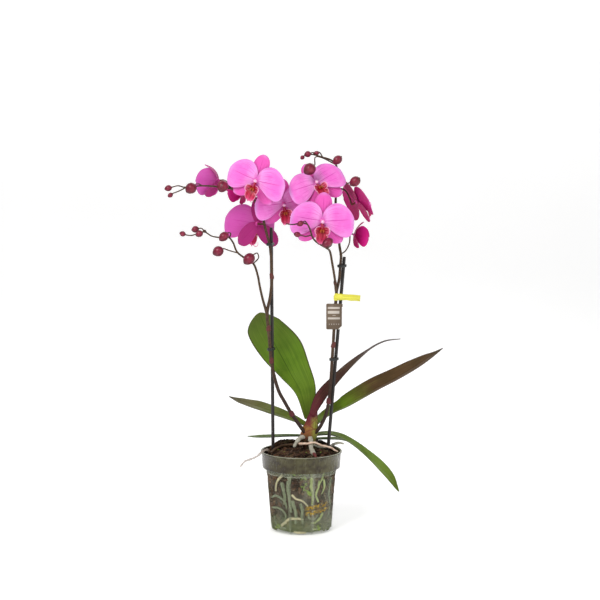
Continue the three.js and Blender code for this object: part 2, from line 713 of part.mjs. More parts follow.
// ---------------------------------------------------------------- spikes
/** A closed bud from its foot to its tip. */
function bud(foot, tip, radius) {
  const points = [0, 0.2, 0.6, 1].map((share) => foot.clone().lerp(tip, share));
  return bar(points, [radius * 0.35, radius * 0.9, radius * 0.95, radius * 0.2], 6);
}

/** Places along a grown stem, [x, y, z, radius] each; a short swelling is a bract at a joint. */
const SPIKES = {
  left: {
    stem: [
      [8, 9, 138, 2.7], [1, 5, 149, 2.7], [-12.5, 4, 168.5, 2.7], [-14, 4, 171, 3.5],
      [-16, 4, 174, 2.6], [-25, 4, 190, 2.6], [-33, 4, 205, 2.6], [-41, 5.5, 232, 2.5],
      [-43.4, 6, 246, 2.5], [-44, 6.2, 249, 3.2], [-44.6, 6.4, 253, 2.4], [-47, 7, 285, 2.4],
      [-48, 7, 294, 2.4], [-48.2, 7, 297, 3.1], [-48.6, 7, 301, 2.4], [-50, 7, 322, 2.5],
      [-45.5, 7, 345, 2.2], [-43, 6.5, 370, 2.2], [-43, 6.5, 374, 2.8], [-43, 6.5, 378, 2.1],
      [-43.5, 6.5, 395, 2.1], [-46, 5, 420, 2], [-51.5, 3.5, 442, 1.9], [-59, 1, 471, 1.8],
      [-69, 0, 487, 1.8], [-82, -2, 497, 1.7], [-95, -4, 502, 1.6], [-110, -6, 505, 1.4],
      [-139, -8, 508, 1.2], [-170, -8, 506, 0.9],
    ],
    branch: [
      [-50, 7, 318, 2.1], [-57, 2, 344, 1.8], [-60.5, -3, 361, 1.7], [-63.5, -7, 378, 1.6],
      [-69.5, -11, 395, 1.6], [-81, -14, 403, 1.5], [-93, -17, 413, 1.4], [-99, -18, 427, 1.3],
      [-105, -18, 434, 1.3], [-117, -19, 434, 1.1], [-129, -20, 436, 1], [-140, -20, 442, 1],
      [-151, -20, 439, 0.8],
    ],
    buds: [ // the stalk from the stem to the bud's foot, then the bud
      { stalk: [V(-170, -8, 506), V(-178, -8, 508), V(-187, -8, 506)],
        tip: V(-198, -9, 503), radius: 4.5 },
      { stalk: [V(-166, -8, 506), V(-178, -8.5, 500), V(-186, -9, 497)],
        tip: V(-193, -10, 492), radius: 3.5 },
      { stalk: [V(-143, -8, 508), V(-149, -10, 511), V(-153, -12, 510)],
        tip: V(-166, -18, 499), radius: 8 },
      { stalk: [V(-100, -4.6, 503), V(-107, -3, 511), V(-110, -8, 514)],
        tip: V(-117.5, -18.5, 500), radius: 8.2 },
      { stalk: [V(-149, -20, 440), V(-159, -20, 437), V(-167, -20, 438)],
        tip: V(-176, -20, 441), radius: 4 },
      { stalk: [V(-139, -20, 442), V(-144, -18, 447), V(-148, -17, 447)],
        tip: V(-159, -15, 444), radius: 5 },
      { stalk: [V(-137, -20, 441), V(-139, -24, 445), V(-142, -27, 443)],
        tip: V(-152, -29, 437), radius: 5 },
      { stalk: [V(-104, -18, 433), V(-102, -20, 440), V(-106, -23, 441)],
        tip: V(-118, -27, 430), radius: 6.5 },
      { stalk: [V(-91, -16.5, 411), V(-104, -19, 415), V(-113, -21, 418)],
        tip: V(-128, -23, 410), radius: 7.6 },
      { stalk: [V(-70, -11, 395), V(-62, -12, 404), V(-64, -15, 411), V(-69, -17, 409)],
        tip: V(-83, -22, 396), radius: 8 },
    ],
  },
  right: {
    stem: [
      [16, 9, 138, 2.7], [26, 6, 149, 2.6], [36, 6, 169, 2.6], [40, 7, 186, 2.6],
      [40.6, 7, 189, 3.3], [41.2, 7.1, 193, 2.5], [43, 8, 214, 2.4], [45.5, 8.5, 252, 2.4],
      [46.5, 8.5, 269, 2.3], [46.8, 8.5, 272, 3], [47, 8.5, 276, 2.3], [48.5, 8.5, 305, 2.3],
      [50.6, 8.5, 338, 2.4], [51.6, 8.5, 352, 2.2], [55.6, 8, 371, 2.2], [57, 8, 390, 2.1],
      [58, 7, 405, 2], [55.7, 6, 420, 1.9], [53.5, 6, 450, 1.8], [50, 6, 487, 1.8],
      [54, 8, 507, 1.6], [53.5, 8, 527, 1.5], [47, 5, 542, 1.4], [27, 1, 550, 1.2],
      [15.5, 0, 553, 1], [8, 0, 552, 0.8],
    ],
    branch: [
      [51.5, 8.5, 349, 1.9], [50.4, 4.6, 357, 2], [49.8, 2.4, 362, 1.9], [49.4, 0.8, 366, 2.6],
      [49, -0.8, 371, 1.8], [45, -8, 395, 1.7], [41.5, -14, 413, 1.6], [37, -28, 419, 1.5],
      [29, -39, 424.5, 1.4], [20, -44, 431, 1.3], [15.5, -47, 438, 1.3], [12, -49, 449, 1.2],
      [8, -49, 455.5, 1.1], [0, -49, 457, 1.1], [-12, -49, 455, 1], [-22, -48, 456, 0.9],
    ],
    buds: [
      { stalk: [V(10, 0, 553), V(6, 0, 552), V(4, 0, 551)], tip: V(-1, 0, 546), radius: 3.2 },
      { stalk: [V(19, 0, 552), V(17, -3, 556), V(14, -5, 555)], tip: V(4, -6, 552), radius: 4.6 },
      { stalk: [V(31, 1.7, 548.6), V(28, 4, 554), V(26, 4, 556)], tip: V(17, 5, 553), radius: 3.4 },
      { stalk: [V(48, 5, 541), V(57, 6, 545), V(58, 4, 550)], tip: V(46, 2, 539), radius: 6.2 },
      { stalk: [V(50, 6, 538), V(30, 7, 548), V(20, -8, 549), V(19, -22, 538)],
        tip: V(4, -29, 527), radius: 8.6 },
      { stalk: [V(9, -49, 455), V(5, -51, 460), V(3, -52, 459)], tip: V(-6, -53, 454), radius: 4 },
      { stalk: [V(15, -47.5, 440), V(6, -50, 438), V(-1, -51, 440)], tip: V(-11, -52, 442), radius: 4 },
      { stalk: [V(37, -27, 419), V(43, -42, 425), V(44, -52, 434)], tip: V(30, -60, 425), radius: 6.4 },
      { stalk: [V(54, 8, 506), V(68, -10, 512), V(84, -18, 520)], tip: V(70, -15, 509), radius: 7.2 },
    ],
  },
};

/** A bar through [x, y, z, radius] places, grown by a margin. */
function grownBar(places, margin = 0) {
  const centres = places.map(([x, y, z]) => V(x, y, z));
  return bar(centres, places.map((place) => place[3]), 6, places.length - 1, margin);
}

/** A spike grown as one piece: stem, branch, flower stalks, bud stalks and buds. */
function spikeBody(side) {
  const { stem, branch, buds } = SPIKES[side];
  const grown = [
    grownBar(stem),
    grownBar(branch),
    ...BLOOMS.filter(({ spike }) => spike === side).map(flowerStalk),
  ];
  for (const { stalk, tip, radius } of buds) {
    const foot = stalk[stalk.length - 1];
    grown.push(bar([...stalk, foot.clone().lerp(tip, 0.2)], [0.9, 0.8, 0.9], 4), bud(foot, tip, radius));
  }
  return join(grown).subtract(crownBody(CLEARANCE));
}

// ---------------------------------------------------------------- canes, clips and tags
const CANES = {
  left: [V(-41.6, 16, 66), V(-44, 13, 446)],
  right: [V(33, 16, 34), V(63, 13.5, 403)],
};

/** A straight cane, grown by a margin. */
function caneBody(side, margin = 0) {
  return bar(CANES[side], [CANE.radius, CANE.radius], CANE.sides, 1, margin);
}

/** The centre of a spike's stem at a height. */
function stemAt(side, height) {
  const places = SPIKES[side].stem;
  const above = places.findIndex((place) => place[2] >= height);
  const [low, high] = [places[above - 1], places[above]].map(([x, y, z]) => V(x, y, z));
  return low.lerp(high, (height - low.z) / (high.z - low.z));
}

/** The centre of a cane at a height. */
function caneAt(side, height) {
  const [low, high] = CANES[side];
  return low.clone().lerp(high, (height - low.z) / (high.z - low.z));
}

/** An outline around two round bars that stand side by side. */
function pairOutline(first, second, radius) {
  const away = Math.atan2(second.y - first.y, second.x - first.x);
  const shape = new THREE.Shape();
  shape.absarc(second.x, second.y, radius, away - Math.PI / 2, away + Math.PI / 2, false);
  shape.absarc(first.x, first.y, radius, away + Math.PI / 2, away + 1.5 * Math.PI, false);
  shape.closePath();
  return shape;
}

/** The space that a spike's stem and its cane take, with clearance. */
function pairSpace(side) {
  return grownBar(SPIKES[side].stem, CLEARANCE).add(caneBody(side, CLEARANCE));
}

/** A band around a spike and its cane, centred at a height. */
function bandAround(side, height, tall, wall) {
  const outline = pairOutline(stemAt(side, height), caneAt(side, height), CANE.radius + CLEARANCE + wall);
  return prism(outline, height - tall / 2, tall);
}

/** A clip that holds a spike to its cane at a height. */
function clipBody(side, height) {
  return bandAround(side, height, CLIP.height, CLIP.wall).subtract(pairSpace(side));
}

/** The outline of the brown tag: rounded corners, its lower right corner cut off. */
function tagShape() {
  const { width, height, corner, fold } = TAG;
  const shape = new THREE.Shape();
  shape.moveTo(corner, 0);
  shape.lineTo(width - fold, 0);
  shape.lineTo(width, fold);
  shape.lineTo(width, height - corner);
  shape.absarc(width - corner, height - corner, corner, 0, Math.PI / 2, false);
  shape.lineTo(corner, height);
  shape.absarc(corner, height - corner, corner, Math.PI / 2, Math.PI, false);
  shape.lineTo(0, corner);
  shape.absarc(corner, corner, corner, Math.PI, 1.5 * Math.PI, false);
  return shape;
}

const TAG_FOOT = V(36.5, 5, 297);
const LABEL_HEIGHT = 343;

/** The brown tag with the strap behind it that holds it to spike and cane. */
function tagBody() {
  const sheet = new THREE.ExtrudeGeometry(tagShape(), {
    depth: TAG.thickness, bevelEnabled: false, curveSegments: 2,
  });
  sheet.rotateX(Math.PI / 2).translate(TAG_FOOT.x, TAG_FOOT.y, TAG_FOOT.z);
  const strap = bandAround('right', TAG_FOOT.z + TAG.height - 4, 4, 0.9);
  return solid(sheet).add(strap).subtract(pairSpace('right'));
}

/** The yellow label: a band round spike and cane, and its flag to the right. */
function labelBody() {
  const { length, height, thickness, band } = LABEL;
  const stem = stemAt('right', LABEL_HEIGHT);
  const flag = new THREE.BoxGeometry(length, thickness, height);
  flag.rotateY(radians(4)).translate(stem.x - 2.6 + length / 2, stem.y - 3.5, LABEL_HEIGHT + 1.2);
  return bandAround('right', LABEL_HEIGHT, band, 0.8).add(solid(flag)).subtract(pairSpace('right'));
}

// ---------------------------------------------------------------- the whole plant
const CLIPS = {
  clip_left_low: ['left', 267],
  clip_left_high: ['left', 422],
  clip_right_low: ['right', 252],
  clip_right_high: ['right', 390],
};

/** The bark with plain holes for crown, canes and roots. */
function holedBark() {
  const holes = [crownBody(CLEARANCE), caneBody('left', CLEARANCE), caneBody('right', CLEARANCE),
    potRoots(ROOT_ROOM), ...AIR_ROOTS.map((root) => airRoot(root, CLEARANCE))];
  return barkBody().subtract(join(holes));
}

/** Every piece in one group. */
function orchid() {
  const plant = new THREE.Group();
  const crown = crownBody();
  const crownSpace = crownBody(CLEARANCE);
  plant.add(piece('pot', potBody(), MATERIAL.pot));
  plant.add(piece('substrate', holedBark(), MATERIAL.bark));
  plant.add(piece('roots_in_pot', potRoots(), MATERIAL.rootGrey));
  plant.add(piece('crown', crown, MATERIAL.crown));
  for (const root of AIR_ROOTS) {
    plant.add(piece(root.name, airRoot(root).subtract(crownSpace), MATERIAL[root.colour]));
  }
  for (const [name, leaf] of Object.entries(LEAVES)) {
    const colour = name === 'leaf_purple' ? MATERIAL.leafPurple : MATERIAL.leaf;
    plant.add(piece(name, leafBody(leaf).subtract(crownSpace), colour));
  }
  for (const side of ['left', 'right']) {
    plant.add(piece(`spike_${side}`, spikeBody(side), MATERIAL.stem));
    plant.add(piece(`cane_${side}`, caneBody(side), MATERIAL.plasticDark));
  }
  for (const [name, [side, height]] of Object.entries(CLIPS)) {
    plant.add(piece(name, clipBody(side, height), MATERIAL.clip));
  }
  plant.add(piece('tag_care', tagBody(), MATERIAL.tag));
  plant.add(piece('tag_label', labelBody(), MATERIAL.label));
  BLOOMS.forEach((spec, i) => plant.add(bloomGroup(spec, i + 1)));
  return plant;
}

export default orchid();
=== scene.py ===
"""Looks of a potted moth orchid: two arching flower spikes tied to canes in a clear pot of bark.

Every length is in millimetres until a mesh is made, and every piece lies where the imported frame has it.
"""

from __future__ import annotations

import logging
import math
from dataclasses import dataclass
from enum import Enum
from functools import reduce
from typing import Callable, Iterable, Sequence

import bpy
import bmesh
import numpy as np
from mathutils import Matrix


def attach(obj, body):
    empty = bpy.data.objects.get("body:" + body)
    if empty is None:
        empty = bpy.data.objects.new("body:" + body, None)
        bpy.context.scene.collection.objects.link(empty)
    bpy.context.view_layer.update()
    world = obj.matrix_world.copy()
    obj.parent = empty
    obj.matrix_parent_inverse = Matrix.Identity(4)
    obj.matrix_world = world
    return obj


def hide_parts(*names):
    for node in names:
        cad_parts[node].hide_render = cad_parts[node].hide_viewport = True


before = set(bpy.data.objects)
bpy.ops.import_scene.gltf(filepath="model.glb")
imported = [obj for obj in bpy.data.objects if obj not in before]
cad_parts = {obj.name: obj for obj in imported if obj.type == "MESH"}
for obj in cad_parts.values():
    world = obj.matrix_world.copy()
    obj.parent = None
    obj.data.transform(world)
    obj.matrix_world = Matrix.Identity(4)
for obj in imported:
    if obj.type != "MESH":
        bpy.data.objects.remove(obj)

LOG = logging.getLogger("orchid")
MM = 0.001
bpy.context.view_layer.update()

Colour = tuple[float, float, float]
Point = tuple[float, float, float]
Place = tuple[float, float, float, float]
Face = tuple[int, ...]
Surface = Callable[[np.ndarray, np.ndarray], np.ndarray]
Material = bpy.types.Material
Socket = bpy.types.NodeSocket
Value = Socket | float


class Side(Enum):
    """Which of the plant's two flower spikes a piece belongs to."""

    LEFT = "left"
    RIGHT = "right"


# ---------------------------------------------------------------- curves and meshes
def unit(vectors: np.ndarray) -> np.ndarray:
    """Vectors of length one, along the last axis."""
    return vectors / np.maximum(np.linalg.norm(vectors, axis=-1, keepdims=True), 1e-12)


def smooth_step(values: np.ndarray, low: float, high: float) -> np.ndarray:
    """Values eased from 0 at low to 1 at high."""
    share = np.clip((values - low) / (high - low), 0, 1)
    return share * share * (3 - 2 * share)


@dataclass
class Spine:
    """A smooth centripetal curve through given points of any number of coordinates."""

    points: Sequence[Sequence[float]]

    def at(self, places: np.ndarray) -> np.ndarray:
        """Points of the curve.

        Args:
            places: shares from 0 to 1, spread evenly over the set points.

        Returns:
            One row for each place.
        """
        given = np.asarray(self.points, float)
        last = len(given) - 1
        scaled = np.clip(places, 0, 1) * last
        start = np.minimum(np.floor(scaled).astype(int), last - 1)
        weight = (scaled - start)[:, None]
        padded = np.vstack([2 * given[0] - given[1], given, 2 * given[-1] - given[-2]])
        before, near, far, after = (padded[start + k] for k in range(4))
        span = self._knot(near, far, np.ones_like(weight))
        first, third = self._knot(before, near, span), self._knot(far, after, span)
        leave = ((near - before) / first - (far - before) / (first + span) + (far - near) / span) * span
        reach = ((far - near) / span - (after - near) / (span + third) + (after - far) / third) * span
        square = -3 * near + 3 * far - 2 * leave - reach
        cube = 2 * near - 2 * far + leave + reach
        return near + weight * (leave + weight * (square + weight * cube))

    @staticmethod
    def _knot(start: np.ndarray, end: np.ndarray, spare: np.ndarray) -> np.ndarray:
        """The square root of the distance between points, or a spare value where they meet."""
        root = ((start - end) ** 2).sum(axis=1, keepdims=True) ** 0.25
        return np.where(root < 1e-4, spare, root)

    def tangent(self, places: np.ndarray) -> np.ndarray:
        """Unit directions along the curve at those places."""
        step = 1e-4
        return unit(self.at(np.minimum(places + step, 1)) - self.at(np.maximum(places - step, 0)))


@dataclass
class Shape:
    """Corners, faces and two per-corner values of a mesh in the making."""

    points: np.ndarray
    faces: list[tuple[int, ...]]
    uv: np.ndarray
    tint: np.ndarray

    @staticmethod
    def joined(shapes: Iterable["Shape"]) -> "Shape":
        """One shape made of several loose ones.

        Args:
            shapes: the loose ones.

        Returns:
            All of them as one shape.
        """
        parts = list(shapes)
        offset = 0
        faces: list[tuple[int, ...]] = []
        for part in parts:
            faces.extend(tuple(corner + offset for corner in face) for face in part.faces)
            offset += len(part.points)
        return Shape(
            np.vstack([part.points for part in parts]),
            faces,
            np.vstack([part.uv for part in parts]),
            np.concatenate([part.tint for part in parts]),
        )

    def moved(self, change: Callable[[np.ndarray], np.ndarray]) -> "Shape":
        """The same shape with its corners passed through a function."""
        return Shape(change(self.points), self.faces, self.uv, self.tint)

    def to_object(self, name: str, material: Material, weld: bool = True) -> bpy.types.Object:
        """A Blender object of this shape.

        Args:
            name: the object's name.
            material: its finish.
            weld: whether corners that coincide become one.

        Returns:
            The new object, in metres.
        """
        mesh = bpy.data.meshes.new(name)
        mesh.from_pydata((self.points * MM).tolist(), [], self.faces)
        layer = mesh.uv_layers.new(name="UVMap")
        loops = np.zeros(len(mesh.loops), np.int32)
        mesh.loops.foreach_get("vertex_index", loops)
        layer.data.foreach_set("uv", self.uv[loops].astype(np.float32).ravel())
        attribute = mesh.attributes.new("tint", "FLOAT", "POINT")
        attribute.data.foreach_set("value", self.tint.astype(np.float32))
        if weld:
            work = bmesh.new()
            work.from_mesh(mesh)
            bmesh.ops.remove_doubles(work, verts=work.verts, dist=2e-6)
            work.to_mesh(mesh)
            work.free()
        mesh.polygons.foreach_set("use_smooth", [True] * len(mesh.polygons))
        mesh.materials.append(material)
        obj = bpy.data.objects.new(name, mesh)
        bpy.context.scene.collection.objects.link(obj)
        return obj

    def place(self, name: str, material: Material, slot: str, *nodes: str) -> bpy.types.Object:
        """Makes the shape a piece of the plant.

        Args:
            name: the piece's name.
            material: its finish.
            slot: not used; it is only passed on to place.
            nodes: the solids that it stands for.

        Returns:
            The piece.
        """
        return place(self.to_object(name, material), slot, *nodes)


def grid_faces(rows: int, columns: int, wrap: bool, first: int = 0, flip: bool = False) -> list[Face]:
    """Quads over a grid of corners.

    Args:
        rows: rows of corners.
        columns: corners in a row.
        wrap: whether each row closes on itself.
        first: the number of the first corner.
        flip: whether the faces look the other way.

    Returns:
        Corner numbers of every quad.
    """
    faces = []
    for row in range(rows - 1):
        for column in range(columns if wrap else columns - 1):
            following = (column + 1) % columns
            low, high = first + row * columns, first + (row + 1) * columns
            quad = (low + column, low + following, high + following, high + column)
            faces.append(quad[::-1] if flip else quad)
    return faces


def around(sides: int) -> np.ndarray:
    """The angles of corners spread evenly around a ring."""
    return np.linspace(0, 2 * math.pi, sides, endpoint=False)


def grid_uv(across: np.ndarray, along: np.ndarray) -> np.ndarray:
    """The uv of a grid of corners, row by row."""
    return np.stack(np.meshgrid(across, along, indexing="xy"), -1).reshape(-1, 2)


def carried_frames(spine: Spine, places: np.ndarray) -> tuple[np.ndarray, np.ndarray, np.ndarray]:
    """Centres on a curve, with directions that are carried along it without twisting.

    Args:
        spine: the curve.
        places: shares from 0 to 1 along it.

    Returns:
        The centres, and a right and an up direction at each.
    """
    tangents = spine.tangent(places)
    rights = np.zeros_like(tangents)
    right = np.array([1.0, 0, 0]) if abs(tangents[0][2]) > 0.9 else np.array([0, 0, 1.0])
    for row, tangent in enumerate(tangents):
        right = unit(right - tangent * (right @ tangent))
        rights[row] = right
    return spine.at(places), rights, np.cross(tangents, rights)


def tube(
    points: Sequence[Point],
    radii: Sequence[float],
    sides: int = 14,
    rings: int | None = None,
    tint: Sequence[float] | None = None,
    knobs: float = 0.0,
    seed: int = 1,
    round_end: bool = False,
) -> Shape:
    """A round bar through points.

    Args:
        points: the places that its centre line passes.
        radii: its radius, spread evenly along it.
        sides: corners around it.
        rings: rings along it, six for each stretch if left out.
        tint: a value from 0 to 1, spread evenly along it.
        knobs: how far its surface swells and shrinks, as a share of the radius.
        seed: picks the swellings.
        round_end: whether its last end is domed.

    Returns:
        The closed bar.
    """
    count = rings or 6 * (len(points) - 1) + 1
    places = np.linspace(0, 1, count)
    spine = Spine(points)
    centres, rights, ups = carried_frames(spine, places)
    radius = np.interp(places, np.linspace(0, 1, len(radii)), radii)
    shade = np.interp(places, np.linspace(0, 1, len(tint)), tint) if tint else np.zeros(count)
    angles = around(sides)
    length = np.concatenate([[0], np.cumsum(np.linalg.norm(np.diff(centres, axis=0), axis=1))])
    swell = np.ones((count, sides))
    if knobs:
        draw = np.random.default_rng(seed)
        for _ in range(5):
            wave, phase, turn = draw.uniform(0.15, 0.9), draw.uniform(0, 6.3), draw.integers(0, 3)
            swell += knobs * 0.4 * np.sin(length[:, None] * wave + phase + turn * angles[None, :])
    if round_end:
        end = length[-1] - length
        reach = radius[-1] * 1.1
        radius = radius * np.where(end < reach, np.sqrt(np.clip(1 - (1 - end / reach) ** 2, 0.0, 1)), 1)
    cosines, sines = np.cos(angles)[None, :, None], np.sin(angles)[None, :, None]
    circle = rights[:, None, :] * cosines + ups[:, None, :] * sines
    rim = centres[:, None, :] + circle * (radius[:, None] * swell)[:, :, None]
    corners = np.vstack([rim.reshape(-1, 3), centres[:1], centres[-1:]])
    faces = grid_faces(count, sides, wrap=True)
    base, top, last = count * sides, count * sides + 1, (count - 1) * sides
    for k in range(sides):
        following = (k + 1) % sides
        faces.append((base, following, k))
        faces.append((top, last + k, last + following))
    uv = np.vstack([grid_uv(angles / (2 * math.pi), length / 10), [[0.5, 0.0], [0.5, length[-1] / 10]]])
    shades = np.concatenate([np.repeat(shade, sides), shade[:1], shade[-1:]])
    return Shape(corners, faces, uv, shades)


def blade(surface: Surface, rows: int, columns: int, thickness: Surface) -> Shape:
    """A thin closed blade on both sides of a surface.

    Args:
        surface: the point at s from root to tip and t from -1 to 1 across.
        rows: stretches along it.
        columns: stretches across it.
        thickness: how thick it is at s and t.

    Returns:
        The blade; its uv is (across, along), and its tint is 0 on the face and 1 on the back.
    """
    along = np.sin(np.linspace(0, 1, rows + 1) * math.pi / 2)
    across = np.linspace(-1, 1, columns + 1)
    s, t = (part.ravel() for part in np.meshgrid(along, across, indexing="ij"))
    t_used = np.where(s >= 1 - 1e-9, 0.0, t)
    step = 0.01
    near = np.clip(s, step, 1 - 3 * step)
    forward = surface(near + step, t_used) - surface(near - step, t_used)
    sideways = surface(near, np.minimum(t_used + step, 1)) - surface(near, np.maximum(t_used - step, -1))
    normal = unit(np.cross(forward, sideways))
    half = (thickness(s, t_used) / 2)[:, None]
    middle = surface(s, t_used)
    width, count = columns + 1, len(s)
    faces = grid_faces(rows + 1, width, wrap=False, flip=True)
    faces += grid_faces(rows + 1, width, wrap=False, first=count)
    for row in range(rows):
        low, high = row * width, (row + 1) * width
        faces.append((low, high, count + high, count + low))
        faces.append((low + columns, count + low + columns, count + high + columns, high + columns))
    for column in range(columns):
        faces.append((column, count + column, count + column + 1, column + 1))
    uv = np.stack([t * 0.5 + 0.5, s], axis=1)
    return Shape(
        np.vstack([middle + normal * half, middle - normal * half]),
        faces,
        np.vstack([uv, uv]),
        np.repeat([0.0, 1.0], count),
    )


def revolved(profile: Sequence[tuple[float, float]], sides: int) -> Shape:
    """A turned body.

    Args:
        profile: (radius, height) pairs that start and end on the axis.
        sides: corners around it.

    Returns:
        The closed body.
    """
    pairs = np.asarray(profile, float)
    angles = around(sides)
    x = pairs[:, 0, None] * np.cos(angles)
    y = pairs[:, 0, None] * np.sin(angles)
    z = np.broadcast_to(pairs[:, 1, None], x.shape)
    uv = grid_uv(angles / (2 * math.pi), pairs[:, 1] / 100)
    points = np.stack([x, y, z], -1).reshape(-1, 3)
    return Shape(points, grid_faces(len(pairs), sides, wrap=True), uv, np.zeros(len(points)))


def place(obj: bpy.types.Object, slot: str, *nodes: str) -> bpy.types.Object:
    """Lets a piece ride on the plant.

    Args:
        obj: the piece.
        slot: not used.
        nodes: the solids that it stands for.

    Returns:
        The same piece.
    """
    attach(obj, "root")
    if nodes:
        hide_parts(*nodes)
    LOG.info("%s: %d faces, stands for %s", obj.name, len(obj.data.polygons), ", ".join(nodes) or "nothing")
    return obj


# ---------------------------------------------------------------- finishes
def srgb(red: float, green: float, blue: float) -> tuple[float, float, float, float]:
    """A linear colour from 0 to 255 screen values.

    Args:
        red: the red screen value.
        green: the green screen value.
        blue: the blue screen value.

    Returns:
        Linear red, green, blue and alpha.
    """
    scaled = [value / 255 for value in (red, green, blue)]
    linear = [v / 12.92 if v <= 0.04045 else ((v + 0.055) / 1.055) ** 2.4 for v in scaled]
    return (linear[0], linear[1], linear[2], 1.0)


class Painter:
    """Makes one material: colours laid over one another, and values for its principled shader."""

    def __init__(self, name: str, roughness: float, colour: Colour = (0, 0, 0), **constants: object) -> None:
        """Starts a material.

        Args:
            name: the material's name.
            roughness: the shader's roughness.
            colour: the first colour, which the others are laid over.
            constants: other values set on the shader's own sockets, with _ for a space.
        """
        self.colour: Socket | Colour = colour
        self.material = bpy.data.materials.new(name)
        self.material.use_nodes = True
        self.tree = self.material.node_tree
        self.tree.nodes.clear()
        output = self.tree.nodes.new("ShaderNodeOutputMaterial")
        self.shader = self.tree.nodes.new("ShaderNodeBsdfPrincipled")
        self.tree.links.new(self.shader.outputs[0], output.inputs["Surface"])
        self.shader.inputs["Roughness"].default_value = roughness
        for socket, value in constants.items():
            self.shader.inputs[socket.replace("_", " ")].default_value = value

    def _node(self, kind: str, inputs: dict[str | int, object], **settings: object) -> bpy.types.Node:
        """A new node with its settings made and its inputs set or linked.

        Args:
            kind: the node's type.
            inputs: what each input is set or linked to.
            settings: the node's own settings.

        Returns:
            The node.
        """
        node = self.tree.nodes.new(kind)
        for name, value in settings.items():
            setattr(node, name, value)
        for socket, value in inputs.items():
            if isinstance(value, bpy.types.NodeSocket):
                self.tree.links.new(value, node.inputs[socket])
            else:
                node.inputs[socket].default_value = value
        return node

    def coordinates(self, scale: Point = (1, 1, 1), uv: bool = False) -> Socket:
        """Object or uv coordinates, stretched by a scale.

        Args:
            scale: the stretch along each axis.
            uv: whether they are uv coordinates.

        Returns:
            The coordinates.
        """
        source = self._node("ShaderNodeTexCoord", {})
        vector = source.outputs["UV" if uv else "Object"]
        return self._node("ShaderNodeMapping", {"Vector": vector, "Scale": scale}).outputs[0]

    def split(self, vector: Socket) -> tuple[Socket, ...]:
        """The three parts of a vector."""
        return tuple(self._node("ShaderNodeSeparateXYZ", {0: vector}).outputs)

    def across_and_along(self) -> tuple[Socket, ...]:
        """The uv coordinates as two values."""
        return self.split(self.coordinates(uv=True))[:2]

    def height(self) -> Socket:
        """The height over the floor in metres."""
        return self.split(self.coordinates())[2]

    def bearing(self) -> Socket:
        """The angle around the pot's axis in radians: 0 at the front, counted to the viewer's right."""
        right, ahead, _ = self.split(self.coordinates((1, -1, 1)))
        return self.math("ARCTAN2", right, ahead)

    def tint(self) -> Socket:
        """The mesh's own per-corner value."""
        return self._node("ShaderNodeAttribute", {}, attribute_name="tint").outputs["Fac"]

    def cloud(self, scale: float, detail: float = 3.0, stretch: Point = (1, 1, 1)) -> Socket:
        """Noise around 0.5 through the piece's own space."""
        inputs = {"Vector": self.coordinates(stretch), "Scale": scale, "Detail": detail}
        return self._node("ShaderNodeTexNoise", inputs).outputs[0]

    def streaks(self, across: float, along: float, detail: float = 2.0, scale: float = 1.0) -> Socket:
        """Noise around 0.5 that is drawn out along the piece, by its uv."""
        inputs = {"Vector": self.coordinates((across, along, 1), uv=True), "Scale": scale, "Detail": detail}
        return self._node("ShaderNodeTexNoise", inputs).outputs[0]

    def math(self, operation: str, first: Value, second: Value = 0.0) -> Socket:
        """One sum on two values."""
        return self._node("ShaderNodeMath", {0: first, 1: second}, operation=operation).outputs[0]

    def times(self, *values: Value) -> Socket:
        """The product of values."""
        return reduce(lambda first, second: self.math("MULTIPLY", first, second), values)

    def total(self, *values: Value) -> Socket:
        """The sum of values."""
        return reduce(lambda first, second: self.math("ADD", first, second), values)

    def off(self, value: Value, centre: float = 0.5) -> Socket:
        """How far a value is from a centre."""
        return self.math("ABSOLUTE", self.math("SUBTRACT", value, centre))

    def eased(self, value: Value, low: float, high: float, start: float = 0.0, end: float = 1.0) -> Socket:
        """A value eased from start at low to end at high.

        Args:
            value: the socket that is read.
            low: where it starts.
            high: where it ends.
            start: the result at low.
            end: the result at high.

        Returns:
            The socket of the result.
        """
        inputs = {"Value": value, "From Min": low, "From Max": high, "To Min": start, "To Max": end}
        return self._node("ShaderNodeMapRange", inputs, interpolation_type="SMOOTHSTEP").outputs[0]

    def ramp(self, value: Socket, stops: Sequence[tuple[float, Colour]]) -> Socket:
        """A colour that changes with a value.

        Args:
            value: where to read.
            stops: (place, screen colour) pairs in order.

        Returns:
            The colour.
        """
        node = self._node("ShaderNodeValToRGB", {"Fac": value})
        elements = node.color_ramp.elements
        while len(elements) < len(stops):
            elements.new(0.5)
        for element, (position, colour) in zip(elements, stops):
            element.position = position
            element.color = srgb(*colour)
        return node.outputs[0]

    def blend(self, colour: Socket | Colour, share: Value, strength: float = 1.0) -> None:
        """Lays a colour over what is there.

        Args:
            colour: the colour.
            share: how much of it shows, from 0 to 1.
            strength: what the share is scaled by.
        """
        if strength != 1.0:
            share = self.times(share, strength)
        under, over = (srgb(*c) if isinstance(c, tuple) else c for c in (self.colour, colour))
        node = self._node("ShaderNodeMix", {}, data_type="RGBA")
        share_socket, under_socket, over_socket = (node.inputs[number] for number in (0, 6, 7))
        for socket, value in ((share_socket, share), (under_socket, under), (over_socket, over)):
            if isinstance(value, bpy.types.NodeSocket):
                self.tree.links.new(value, socket)
            else:
                socket.default_value = value
        self.colour = node.outputs[2]

    def glaze(
        self, colour: Socket | Colour, value: Value, low: float, high: float, most: float = 1.0,
    ) -> None:
        """Lays a colour over what is there, not at all where a value is low and most where it is high."""
        self.blend(colour, self.eased(value, low, high, 0.0, most))

    def vary(self, socket: str, value: Socket) -> None:
        """Wires a value to one of the shader's sockets."""
        self.tree.links.new(value, self.shader.inputs[socket])

